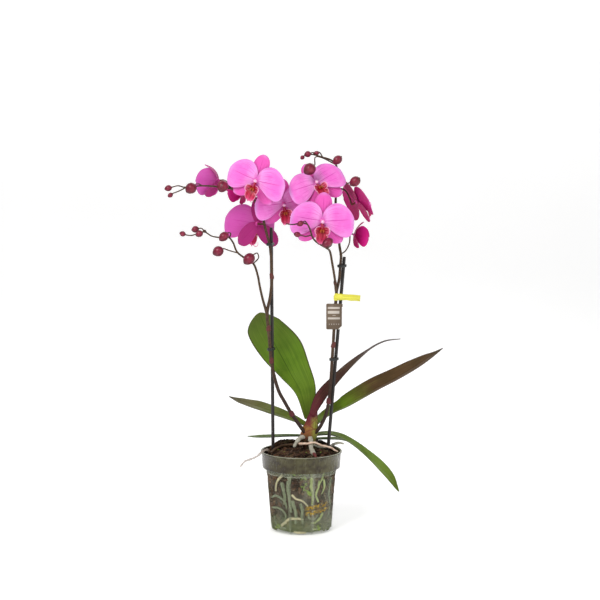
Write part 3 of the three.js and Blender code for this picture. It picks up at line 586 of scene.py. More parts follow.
    def finished(self, height: Socket | None = None, depth: float = 0.0, strength: float = 1.0) -> Material:
        """The material, painted, and raised by a height where one is given.

        Args:
            height: the relief, from 0 to 1.
            depth: how deep it is at 1, in millimetres.
            strength: how strongly it shows.

        Returns:
            The finished material.
        """
        self.vary("Base Color", self.colour)
        if height is not None:
            inputs = {"Height": height, "Distance": depth * MM, "Strength": strength}
            bump = self._node("ShaderNodeBump", inputs)
            self.vary("Normal", bump.outputs[0])
        return self.material


@dataclass(frozen=True)
class TepalFinish:
    """A petal's or sepal's skin: painted shade right at its foot, pale just above it and at its rim, with
    fine veins from foot to tip.
    """

    name: str
    foot: Colour
    middle: Colour
    rim: Colour
    back: Colour
    vein: Colour
    shade: Colour

    def material(self) -> Material:
        """The skin as a material."""
        painter = Painter(
            self.name, 0.62, Specular_IOR_Level=0.12, Sheen_Weight=0.04, Sheen_Roughness=0.4,
            Subsurface_Weight=0.08, Subsurface_Scale=0.002, Subsurface_Radius=(1.0, 0.35, 0.7),
        )
        across, along = painter.across_and_along()
        off_middle = painter.off(across)
        coarse = painter.streaks(38, 1.4)
        fine = painter.streaks(96, 7)
        veins = painter.times(painter.eased(coarse, 0.48, 0.66), painter.eased(along, 1.0, 0.3, 0.1, 1.0))
        midrib = painter.times(painter.eased(off_middle, 0.016, 0.003), painter.eased(along, 0.95, 0.6))
        # The first stop, shade, is painted shade at the tepal's foot, where the flower's centre shadows it.
        painter.colour = painter.ramp(along, [(0.0, self.shade), (0.16, self.foot), (0.42, self.middle),
                                              (0.86, self.middle), (1.0, self.rim)])
        painter.glaze(self.foot, off_middle, 0.22, 0.44, most=0.4)
        painter.glaze(self.rim, off_middle, 0.468, 0.497, most=0.85)
        painter.glaze(self.foot, painter.cloud(70), 0.35, 0.75, most=0.4)
        painter.blend(self.vein, veins, 0.5)
        painter.glaze(self.vein, fine, 0.5, 0.74, most=0.3)
        painter.blend(self.vein, midrib, 0.85)
        painter.blend(self.back, painter.tint(), 0.8)
        raised = painter.total(painter.times(coarse, 0.6), painter.times(fine, 0.4))
        return painter.finished(painter.math("SUBTRACT", raised, midrib), 0.42, 0.6)


@dataclass(frozen=True)
class LipFinish:
    """The lip: crimson with an orange, striped throat, pale margins and painted shade in its middle crease;
    the tint is 1 on its side lobes.
    """

    name: str = "lip_skin"

    def material(self) -> Material:
        """The skin as a material."""
        painter = Painter(self.name, 0.36, Specular_IOR_Level=0.4, Subsurface_Weight=0.06,
                          Subsurface_Scale=0.001, Subsurface_Radius=(1.0, 0.2, 0.2))
        across, along = painter.across_and_along()
        off_middle = painter.off(across)
        on_side = painter.tint()
        stripes = painter.streaks(30, 1, 1)
        dark = painter.times(painter.eased(stripes, 0.48, 0.58), painter.eased(along, 0.9, 0.5))
        light = painter.times(painter.eased(stripes, 0.45, 0.36), painter.eased(along, 0.2, 0.5),
                              painter.eased(on_side, 0.0, 1.0, 0.25, 0.8))
        # Painted shade along the middle crease of the lip.
        crease_shade = painter.times(painter.eased(off_middle, 0.05, 0.01), painter.eased(along, 0.95, 0.7))
        pale = painter.times(painter.eased(off_middle, 0.4, 0.47), painter.eased(along, 0.15, 0.45),
                             painter.eased(on_side, 0.0, 1.0, 0.5, 1.0))
        painter.colour = painter.ramp(along, [
            (0.0, (232, 138, 30)), (0.08, (214, 70, 24)), (0.2, (158, 4, 24)), (0.5, (184, 4, 58)),
            (0.8, (204, 18, 92)), (1.0, (232, 110, 166))])
        side = painter.ramp(along, [(0.0, (176, 24, 30)), (0.2, (172, 6, 30)), (0.6, (186, 20, 66)),
                                    (0.84, (222, 96, 140)), (1.0, (246, 190, 222))])
        painter.blend(side, on_side)
        painter.blend((112, 0, 20), dark, 0.85)
        painter.blend((240, 120, 150), light)
        painter.blend((110, 0, 24), crease_shade, 0.8)
        painter.blend((248, 176, 214), pale, 0.9)
        return painter.finished(stripes, 0.25, 0.5)


@dataclass(frozen=True)
class ColumnFinish:
    """The column: white at its cap, pink at its foot."""

    name: str = "column_skin"

    def material(self) -> Material:
        """The skin as a material."""
        painter = Painter(self.name, 0.4, Subsurface_Weight=0.15, Subsurface_Scale=0.002)
        mottle = painter.cloud(700)
        painter.colour = painter.ramp(painter.tint(), [(0.0, (186, 40, 130)), (0.35, (224, 100, 184)),
                                                       (0.8, (234, 136, 202)), (1.0, (242, 184, 218))])
        painter.glaze((226, 90, 170), mottle, 0.45, 0.8, most=0.4)
        return painter.finished(mottle, 0.15)


@dataclass(frozen=True)
class LeafFinish:
    """A waxy leaf: colours along it, on its margin and where its tint is 1, with parallel veins."""

    name: str
    along: tuple[tuple[float, Colour], ...]
    margin: Colour
    back: Colour
    dark: Colour
    back_share: float = 0.75
    roughness: float = 0.5

    def material(self) -> Material:
        """The leaf's skin as a material."""
        painter = Painter(self.name, self.roughness, Specular_IOR_Level=0.08)
        across, along = painter.across_and_along()
        off_middle = painter.off(across)
        cloud = painter.cloud(38, 4)
        veins = painter.streaks(46, 1.2)
        midrib = painter.eased(off_middle, 0.02, 0.004)
        painter.colour = painter.ramp(along, self.along)
        painter.glaze(self.dark, cloud, 0.42, 0.72, most=0.45)
        painter.glaze(self.dark, veins, 0.45, 0.7, most=0.4)
        painter.glaze((172, 190, 84), painter.streaks(30, 2, scale=1.6), 0.55, 0.8, most=0.16)
        painter.blend(self.dark, midrib, 0.8)
        painter.glaze(self.margin, off_middle, 0.462, 0.494, most=0.9)
        painter.blend(self.back, painter.tint(), self.back_share)
        rough = painter.eased(cloud, 0.3, 0.8, self.roughness - 0.08, self.roughness + 0.14)
        painter.vary("Roughness", rough)
        raised = painter.math("SUBTRACT", painter.times(veins, 0.6), painter.times(midrib, 1.6))
        return painter.finished(raised, 0.35, 0.5)


@dataclass(frozen=True)
class GrownFinish:
    """Skin of stems, roots and moss: two mottled colours, one where the tint is high and one low down."""

    name: str
    main: Colour
    mottle: Colour
    marked: Colour
    grain: float
    roughness: float
    depth: float
    mottle_share: float = 0.6
    foot: Colour | None = None

    def material(self) -> Material:
        """The skin as a material."""
        painter = Painter(self.name, self.roughness, self.main, Specular_IOR_Level=0.2)
        grain = painter.cloud(self.grain, 4)
        painter.glaze(self.mottle, grain, 0.4, 0.68, most=self.mottle_share)
        painter.glaze(self.mottle, painter.cloud(self.grain * 0.16, 2), 0.45, 0.7, most=0.4)
        if self.foot:
            painter.glaze(self.foot, painter.height(), 290 * MM, 190 * MM, most=0.8)
        painter.glaze(self.marked, painter.tint(), 0.2, 0.9)
        return painter.finished(grain, self.depth, 0.6)


@dataclass(frozen=True)
class BudFinish:
    """A closed bud: maroon with a pinker belly, painted pink highlights, darker seams and a waxy gloss."""

    name: str = "bud_skin"

    def material(self) -> Material:
        """The skin as a material."""
        painter = Painter(self.name, 0.36, Specular_IOR_Level=0.4, Coat_Weight=0.06, Coat_Roughness=0.25)
        _, along = painter.across_and_along()
        lines = painter.streaks(22, 1.5, 1)
        painter.colour = painter.ramp(along, [
            (0.0, (84, 54, 38)), (0.14, (102, 16, 38)), (0.5, (122, 12, 46)), (0.85, (94, 6, 32)),
            (1.0, (60, 6, 22))])
        # Pale pink cloud patches: painted highlights.
        painter.glaze((164, 46, 80), painter.cloud(160), 0.45, 0.8, most=0.5)
        painter.glaze((104, 18, 56), lines, 0.5, 0.75, most=0.4)
        painter.blend((66, 10, 36), painter.tint())
        return painter.finished(lines, 0.2, 0.4)


@dataclass(frozen=True)
class CrownFinish:
    """The leaf feet: painted shade at the very bottom, brown above it, wine higher up, green to the right and
    dark at their edges.
    """

    name: str = "crown_sheath"

    def material(self) -> Material:
        """The skin as a material."""
        painter = Painter(self.name, 0.45, Specular_IOR_Level=0.2)
        streaks = painter.streaks(60, 1.5, 3)
        right, _, height = painter.split(painter.coordinates())
        green = painter.times(
            painter.eased(right, 12 * MM, 20 * MM), painter.eased(height, 170 * MM, 160 * MM))
        # The two lowest stops are painted shade at the crown's foot, under the leaves.
        painter.colour = painter.ramp(painter.eased(height, 122 * MM, 178 * MM), [
            (0.0, (46, 40, 26)), (0.12, (66, 54, 32)), (0.28, (128, 82, 44)), (0.5, (142, 104, 50)),
            (0.64, (124, 66, 46)), (0.76, (104, 38, 50)), (1.0, (94, 30, 48))])
        painter.glaze((128, 44, 40), painter.cloud(260, 2), 0.56, 0.68, most=0.6)
        painter.blend((132, 136, 54), green, 0.85)
        painter.glaze((112, 50, 42), streaks, 0.5, 0.72, most=0.45)
        painter.blend((104, 30, 34), painter.tint(), 0.7)
        return painter.finished(streaks, 0.4, 0.6)


@dataclass(frozen=True)
class BarkFinish:
    """Bark, each chip with its own brown from its tint: dusty behind the wall, green at the pot's foot."""

    name: str = "bark_chips"

    def material(self) -> Material:
        """The skin as a material."""
        painter = Painter(self.name, 0.9, Specular_IOR_Level=0.15)
        height = painter.height()
        fibre = painter.cloud(420, 5, (1, 1, 0.35))
        damp = painter.cloud(45)
        dusty = painter.times(
            painter.eased(height, 100 * MM, 92 * MM), painter.eased(damp, 0.3, 0.6, 0.3, 0.05))
        painter.colour = painter.ramp(painter.tint(), [
            (0.0, (30, 21, 16)), (0.3, (60, 42, 32)), (0.55, (98, 67, 48)), (0.8, (90, 78, 54)),
            (1.0, (130, 102, 78))])
        painter.glaze((26, 18, 15), fibre, 0.4, 0.7, most=0.6)
        painter.glaze((58, 64, 38), damp, 0.55, 0.8, most=0.45)
        painter.glaze((188, 176, 156), painter.cloud(900, 1), 0.7, 0.76, most=0.7)
        painter.blend((132, 126, 112), dusty)
        painter.glaze((98, 110, 64), height, 34 * MM, 6 * MM, most=0.75)
        return painter.finished(fibre, 0.9)


@dataclass(frozen=True)
class PotFinish:
    """Clear, slightly misted plastic that turns olive and dense in the collar, with two upright painted
    glints and painted highlight lines on its ridge and rim bead.
    """

    collar_foot: float
    ridge: float
    rim: float
    # Bearings of two upright pale bands: painted glints, reflections of the lights.
    painted_glints: tuple[float, ...] = (-0.36, 0.36)

    def material(self) -> Material:
        """The plastic as a material."""
        painter = Painter("clear_pot", 0.22, (50, 42, 26), IOR=1.49, Specular_IOR_Level=0.32,
                          Coat_Weight=0.06, Coat_Roughness=0.1)
        height = painter.height()
        mist = painter.cloud(24, 4, (1, 1, 0.6))
        drops = painter.cloud(260, 3, (1, 1, 0.3))
        runs = painter.cloud(36, 2, (1, 1, 0.04))
        patches = painter.cloud(60, 5, (1, 1, 1.2))
        stained = painter.times(painter.eased(painter.bearing(), -0.62, -0.78),
                                painter.eased(patches, 0.3, 0.6, 1.0, 0.5))
        painter.glaze((80, 76, 48), patches, 0.36, 0.66)
        painter.glaze((124, 122, 96), drops, 0.62, 0.74, most=0.3)
        painter.blend((34, 20, 12), stained, 0.95)
        band = painter.colour
        collar = painter.eased(height, (self.collar_foot - 1.5) * MM, (self.collar_foot - 0.5) * MM)
        # ring and bead mark pale lines on the ridge and the rim bead: painted highlights.
        ring = painter.times(painter.eased(height, (self.ridge - 1) * MM, self.ridge * MM),
                             painter.eased(height, (self.ridge + 1) * MM, self.ridge * MM))
        bead = painter.eased(height, (self.rim - 1.4) * MM, self.rim * MM)
        painter.colour = (138, 146, 118)
        painter.glaze((168, 170, 150), mist, 0.35, 0.7)
        painter.blend(band, collar)
        # Painted highlights on the ridge and the rim bead.
        painter.blend((168, 170, 150), painter.math("MAXIMUM", ring, bead), 0.75)
        opaque = painter.total(
            painter.eased(mist, 0.35, 0.75, 0.0, 0.1),
            painter.eased(height, 44 * MM, 6 * MM, 0.0, 0.1),
            painter.eased(runs, 0.52, 0.68, 0.0, 0.08),
            # Two upright pale bands: painted glints of the lights.
            *(painter.eased(painter.off(painter.bearing(), turn), 0.07, 0.0, 0.0, 0.24)
              for turn in self.painted_glints),
            painter.eased(drops, 0.62, 0.76, 0.0, 0.16),
            painter.times(ring, 0.4),
            painter.eased(height, self.ridge * MM, (self.ridge + 1.5) * MM, 0.0, 0.22),
            painter.times(collar, painter.eased(mist, 0.3, 0.8, 0.8, 0.55)),
        )
        painter.vary("Alpha", painter.math("MINIMUM", opaque, 0.98))
        painter.vary("Roughness", painter.eased(drops, 0.3, 0.8, 0.14, 0.36))
        return painter.finished(drops, 0.2, 0.25)


@dataclass(frozen=True)
class PrintFinish:
    """Two broken, see-through ochre stripes printed on the wall."""

    name: str = "ochre_print"

    def material(self) -> Material:
        """The skin as a material."""
        painter = Painter(self.name, 0.45, (196, 160, 44), Specular_IOR_Level=0.3)
        across, along = painter.across_and_along()
        wave = painter.cloud(330)
        off_gap = painter.off(along)
        stripes = painter.times(painter.eased(off_gap, 0.05, 0.12), painter.eased(off_gap, 0.5, 0.42))
        ends = painter.times(painter.eased(across, 0.0, 0.06), painter.eased(across, 1.0, 0.7))
        painter.glaze((146, 112, 40), painter.cloud(120, 2), 0.3, 0.7)
        painter.vary("Alpha", painter.times(stripes, ends, painter.eased(wave, 0.38, 0.6), 0.72))
        return painter.finished(wave, 0.05, 0.3)


@dataclass(frozen=True)
class PlasticFinish:
    """Moulded plastic or coated card with a fine grain."""

    name: str
    colour: Colour
    worn: Colour
    roughness: float
    grain: float = 900.0

    def material(self) -> Material:
        """The plastic as a material."""
        painter = Painter(self.name, self.roughness, self.colour, Specular_IOR_Level=0.45)
        grain = painter.cloud(self.grain, 3, (1, 1, 0.2))
        painter.glaze(self.worn, painter.cloud(self.grain * 0.05, 2), 0.4, 0.75, most=0.6)
        painter.glaze(self.worn, grain, 0.5, 0.8, most=0.25)
        return painter.finished(grain, 0.12, 0.5)


@dataclass(frozen=True)
class PrintedFinish:
    """Card with plain bars and dots, given by their left, right, low and high edges in shares of its size."""

    name: str
    colour: Colour
    ink: Colour
    bars: tuple[tuple[float, float, float, float], ...]
    roughness: float = 0.5
    edge: float = 0.006

    def material(self) -> Material:
        """The card as a material."""
        painter = Painter(self.name, self.roughness, self.colour, Specular_IOR_Level=0.35)
        across, along = painter.across_and_along()
        edge = self.edge
        mask: Value = 0.0
        for left, right, low, high in self.bars:
            bar = painter.times(
                painter.eased(across, left - edge, left + edge),
                painter.eased(across, right + edge, right - edge),
                painter.eased(along, low - edge, low + edge),
                painter.eased(along, high + edge, high - edge),
            )
            mask = painter.math("MAXIMUM", mask, bar)
        grain = painter.cloud(1500)
        painter.glaze(tuple(value * 0.85 for value in self.colour), grain, 0.4, 0.8, most=0.4)
        painter.blend(self.ink, mask, 0.6)
        return painter.finished(grain, 0.08, 0.5)


@dataclass(frozen=True)
class SweepFinish:
    """The studio's pale sweep, which gives off a little light of its own."""

    name: str = "studio_sweep"

    def material(self) -> Material:
        """The sweep's surface as a material."""
        painter = Painter(self.name, 0.9, (246, 246, 246), Specular_IOR_Level=0.1,
                          Emission_Color=(1, 1, 1, 1), Emission_Strength=0.3)
        painter.glaze((240, 240, 241), painter.cloud(3), 0.3, 0.8, most=0.3)
        return painter.finished()


# ---------------------------------------------------------------- pot and bark
@dataclass
class Pot:
    """The clear pot: rim bead, olive collar, tapered body, rounded foot and drain slots."""

    rim: float = 60
    height: float = 118
    collar_foot: float = 57.3
    collar_height: float = 23.5
    shoulder: float = 53.2
    foot: float = 45.8
    foot_round: float = 6
    wall: float = 1.2
    floor: float = 1.6
    ridge_drop: float = 7
    slots: int = 6
    slot_size: Point = (16, 9, 4)
    slot_foot: float = 2.4
    sides: int = 144

    @property
    def collar_z(self) -> float:
        """Height of the collar's lower edge."""
        return self.height - self.collar_height

    @property
    def ridge_z(self) -> float:
        """Height of the fine ridge below the collar."""
        return self.collar_z - self.ridge_drop

    def inside_radius(self, height: float) -> float:
        """Inner radius of the wall.

        Args:
            height: the height.

        Returns:
            The radius there.
        """
        heights = [self.foot_round, self.collar_z - 0.4, self.collar_z + self.wall, self.height]
        radii = [self.foot + 0.3 - self.wall, self.shoulder - self.wall, self.collar_foot - self.wall,
                 self.rim - 1.6 - self.wall]
        return float(np.interp(height, heights, radii))

    def profile(self) -> list[tuple[float, float]]:
        """(radius, height) pairs over the outside and back down the inside."""
        foot, curve = self.foot, self.foot_round
        outside = [(0.0, 0.0), (foot - curve, 0.0)]
        for turn in np.linspace(math.radians(12), math.radians(78), 5):
            outside.append((foot + 0.2 - curve + curve * math.sin(turn), curve - curve * math.cos(turn)))
        outside += [(foot + 0.3, curve),
                    (foot + 0.3 + (self.shoulder - foot) * 0.5, (curve + self.collar_z) / 2)]
        slope = (self.shoulder - foot - 0.3) / (self.collar_z - 1 - curve)
        for offset, rise in ((-0.9, 0.0), (-0.4, 0.45), (0.4, 0.45), (0.9, 0.0)):
            height = self.ridge_z + offset
            outside.append((foot + 0.3 + slope * (height - curve) + rise, height))
        outside += [(self.shoulder, self.collar_z - 1.4), (self.shoulder + 0.2, self.collar_z - 1),
                    (self.collar_foot - 0.9, self.collar_z - 1),
                    (self.collar_foot - 0.2, self.collar_z - 0.8),
                    (self.collar_foot, self.collar_z), (self.collar_foot + 0.1, self.collar_z + 1),
                    (self.rim - 1.5, self.height - 3.2), (self.rim - 0.7, self.height - 2.7),
                    (self.rim - 0.15, self.height - 2.2), (self.rim, self.height - 1.2),
                    (self.rim - 0.3, self.height - 0.3), (self.rim - 1.1, self.height),
                    (self.rim - 2.1, self.height - 0.2), (self.rim - 2.7, self.height - 1.2)]
        inside = [(self.inside_radius(z), z) for z in (self.collar_z + self.wall, self.collar_z - 0.4, curve)]
        inside += [(foot - curve * 0.5 - self.wall, self.floor + 0.6), (foot - curve - self.wall, self.floor),
                   (0.0, self.floor)]
        return outside + inside

    def slot_cutter(self) -> bpy.types.Object:
        """Blocks in the shape of the drain slots, one object."""
        cutter = bmesh.new()
        deep, wide, tall = self.slot_size
        for number in range(self.slots):
            turn = (number + 0.5) * 2 * math.pi / self.slots
            for corner in bmesh.ops.create_cube(cutter, size=1.0)["verts"]:
                x = self.foot + corner.co.x * deep
                y = corner.co.y * wide
                z = corner.co.z * tall + tall / 2 + self.slot_foot
                corner.co = ((x * math.cos(turn) - y * math.sin(turn)) * MM,
                             (x * math.sin(turn) + y * math.cos(turn)) * MM, z * MM)
        mesh = bpy.data.meshes.new("slot_cutter")
        cutter.to_mesh(mesh)
        cutter.free()
        knife = bpy.data.objects.new("slot_cutter", mesh)
        bpy.context.scene.collection.objects.link(knife)
        return knife

    def build(self) -> None:
        """Makes the shell, with its slots cut, and the ochre print on it."""
        shell = revolved(self.profile(), self.sides)
        obj = shell.to_object("pot_shell", PotFinish(self.collar_z, self.ridge_z, self.height).material())
        knife = self.slot_cutter()
        cut = obj.modifiers.new("slots", "BOOLEAN")
        cut.operation = "DIFFERENCE"
        cut.object = knife
        apply_modifiers(obj)
        bpy.data.objects.remove(knife)
        place(obj, "pot", "pot")
        self.build_print()

    def build_print(self) -> None:
        """Makes the sheet on the wall, front right, that carries the ochre print."""
        angles = np.radians(np.linspace(6, 62, 36))
        heights = np.linspace(0, 1, 8)
        foot, tall, climb, clear = 29, 15, 6.5, 0.12
        points = []
        for share in heights:
            for order, turn in enumerate(angles):
                height = foot + tall * share + climb * order / len(angles)
                reach = self.inside_radius(height) + self.wall + clear
                points.append((reach * math.sin(turn), -reach * math.cos(turn), height))
        corners = np.asarray(points)
        uv = grid_uv(np.linspace(0, 1, len(angles)), heights)
        patch = Shape(corners, grid_faces(len(heights), len(angles), wrap=False), uv, np.zeros(len(corners)))
        patch.place("pot_stripes", PrintFinish().material(), "label")


def apply_modifiers(obj: bpy.types.Object) -> None:
    """Bakes an object's modifiers into its mesh.

    Args:
        obj: the object.
    """
    bpy.context.view_layer.update()
    graph = bpy.context.evaluated_depsgraph_get()
    mesh = bpy.data.meshes.new_from_object(obj.evaluated_get(graph))
    obj.modifiers.clear()
    obj.data = mesh


@dataclass
class WallRoot:
    """A root that shows through the wall: radius, finish and (angle, height) places down the wall."""

    radius: float
    kind: str
    down: tuple[tuple[float, float], ...]
    from_head: bool = False


@dataclass
class PotRoots:
    """The roots inside the pot."""

    pot: Pot
    head: Point = (10, 12, 99)
    head_inset: float = 5
    wall_inset: float = 0.45
    samples_each: int = 60
    roots: tuple[WallRoot, ...] = (
        WallRoot(3.9, "grey", ((-22, 84), (-24, 70), (-22, 56), (-19, 32)), True),
        WallRoot(3.7, "grey", ((-19, 93), (-21, 84), (-24, 70), (-23, 60))),
        WallRoot(2.9, "green", ((19, 94), (18, 84), (18, 72), (21, 60))),
        WallRoot(1.6, "green", ((41, 93), (38, 84), (32, 74))),
        WallRoot(2.1, "pale", ((-31, 93), (-38, 86), (-48, 76), (-52, 62)), True),
        WallRoot(3.0, "green", ((17, 86), (18, 72), (21, 58), (20, 44)), True),
        WallRoot(2.3, "pale", ((-42, 12), (-32, 18), (-22, 24), (-9, 25), (5, 24))),
        WallRoot(2.0, "green", ((33, 86), (31, 72), (27, 60), (33, 48)), True),
        WallRoot(2.4, "grey", ((160, 84), (158, 62), (150, 38)), True),
        WallRoot(1.5, "pale", ((-17, 61), (-9, 55), (2, 52), (13, 43))),
        WallRoot(1.7, "grey", ((-66, 52), (-52, 56), (-40, 54), (-30, 48), (-28, 38))),
        WallRoot(1.6, "grey", ((-66, 36), (-50, 38), (-38, 36), (-30, 28), (-36, 18))),
        WallRoot(2.8, "grey", ((-36, 78), (-33, 66), (-31, 56), (-34, 44))),
        WallRoot(2.7, "grey", ((-17, 52), (-13, 42), (-10, 30), (-12, 16))),
        WallRoot(2.5, "grey", ((-2, 48), (2, 38), (1, 28), (3, 16))),
        WallRoot(1.8, "green", ((44, 32), (38, 24), (27, 18), (18, 18))),
        WallRoot(1.7, "green", ((22, 9), (31, 8), (42, 10))),
        WallRoot(1.7, "pale", ((-15, 4.5), (0, 4), (10, 4))),
        WallRoot(1.5, "green", ((42, 82), (44, 70), (38, 60))),
        WallRoot(1.7, "grey", ((-62, 24), (-58, 14), (-46, 9), (-30, 9))),
        WallRoot(2.1, "grey", ((62, 82), (58, 60), (66, 40), (60, 22))),
        WallRoot(1.9, "grey", ((12, 36), (15, 26), (24, 24), (34, 30))),
        WallRoot(1.6, "pale", ((96, 70), (110, 55), (128, 50))),
        WallRoot(2.2, "grey", ((-100, 80), (-108, 60), (-96, 38), (-104, 20))),
        WallRoot(1.7, "green", ((-150, 76), (-140, 52), (-148, 30))),
        WallRoot(1.8, "pale", ((-170, 30), (-190, 34), (-214, 26))),
    )

    def wall_point(self, angle: float, height: float, inset: float) -> np.ndarray:
        """A point inside the wall.

        Args:
            angle: degrees from the front, counted to the viewer's right.
            height: its height.
            inset: how far it is from the wall.

        Returns:
            The point.
        """
        reach = self.pot.inside_radius(height) - inset
        turn = math.radians(angle)
        return np.array([reach * math.sin(turn), -reach * math.cos(turn), height])

    def lines(self) -> list[tuple[WallRoot, np.ndarray]]:
        """Every root with its centre line."""
        found = []
        head = np.array(self.head)
        for root in self.roots:
            line = []
            for number, (angle, height) in enumerate(root.down):
                inset = root.radius + (self.head_inset if root.from_head and number == 0 else self.wall_inset)
                line.append(self.wall_point(angle, height, inset))
            if root.from_head:
                line = [head, head * 0.55 + line[0] * 0.45] + line
            found.append((root, np.array(line)))
        return found

    def samples(self) -> np.ndarray:
        """Centre points along the roots with the radius as a fourth value."""
        places = np.linspace(0, 1, self.samples_each)
        return np.vstack([
            np.hstack([Spine(line).at(places), np.full((self.samples_each, 1), root.radius)])
            for root, line in self.lines()
        ])

    def build(self) -> None:
        """Makes one piece of each colour."""
        looks = {
            "grey": ((128, 136, 108), (88, 98, 72), 260, 0.6),
            "green": ((170, 182, 122), (122, 140, 74), 220, 0.55),
            "pale": ((196, 188, 152), (150, 146, 106), 240, 0.6),
        }
        for kind, (main, mottle, scale, roughness) in looks.items():
            finish = GrownFinish(f"root_wall_{kind}", main, mottle, main, scale, roughness, 0.3)
            bars = [
                tube(line.tolist(), [root.radius * share for share in (1, 1.06, 0.9, 0.7)], 12,
                     8 * len(line), knobs=0.12, seed=number, round_end=True)
                for number, (root, line) in enumerate(self.lines()) if root.kind == kind
            ]
            if kind == "grey":
                head = np.array(self.head)
                bars.append(tube([(head[0], head[1], 90), (head[0], head[1], 103.2)], [6, 6], 20, 6))
            slot = "root_pale" if kind == "pale" else "root_grey"
            Shape.joined(bars).place(f"roots_in_pot_{kind}", finish.material(), slot, "roots_in_pot")


@dataclass(frozen=True)
class Slab:
    """A large bark piece that lies against the back of the rim."""

    radii: tuple[float, ...]
    way: tuple[Point, ...]


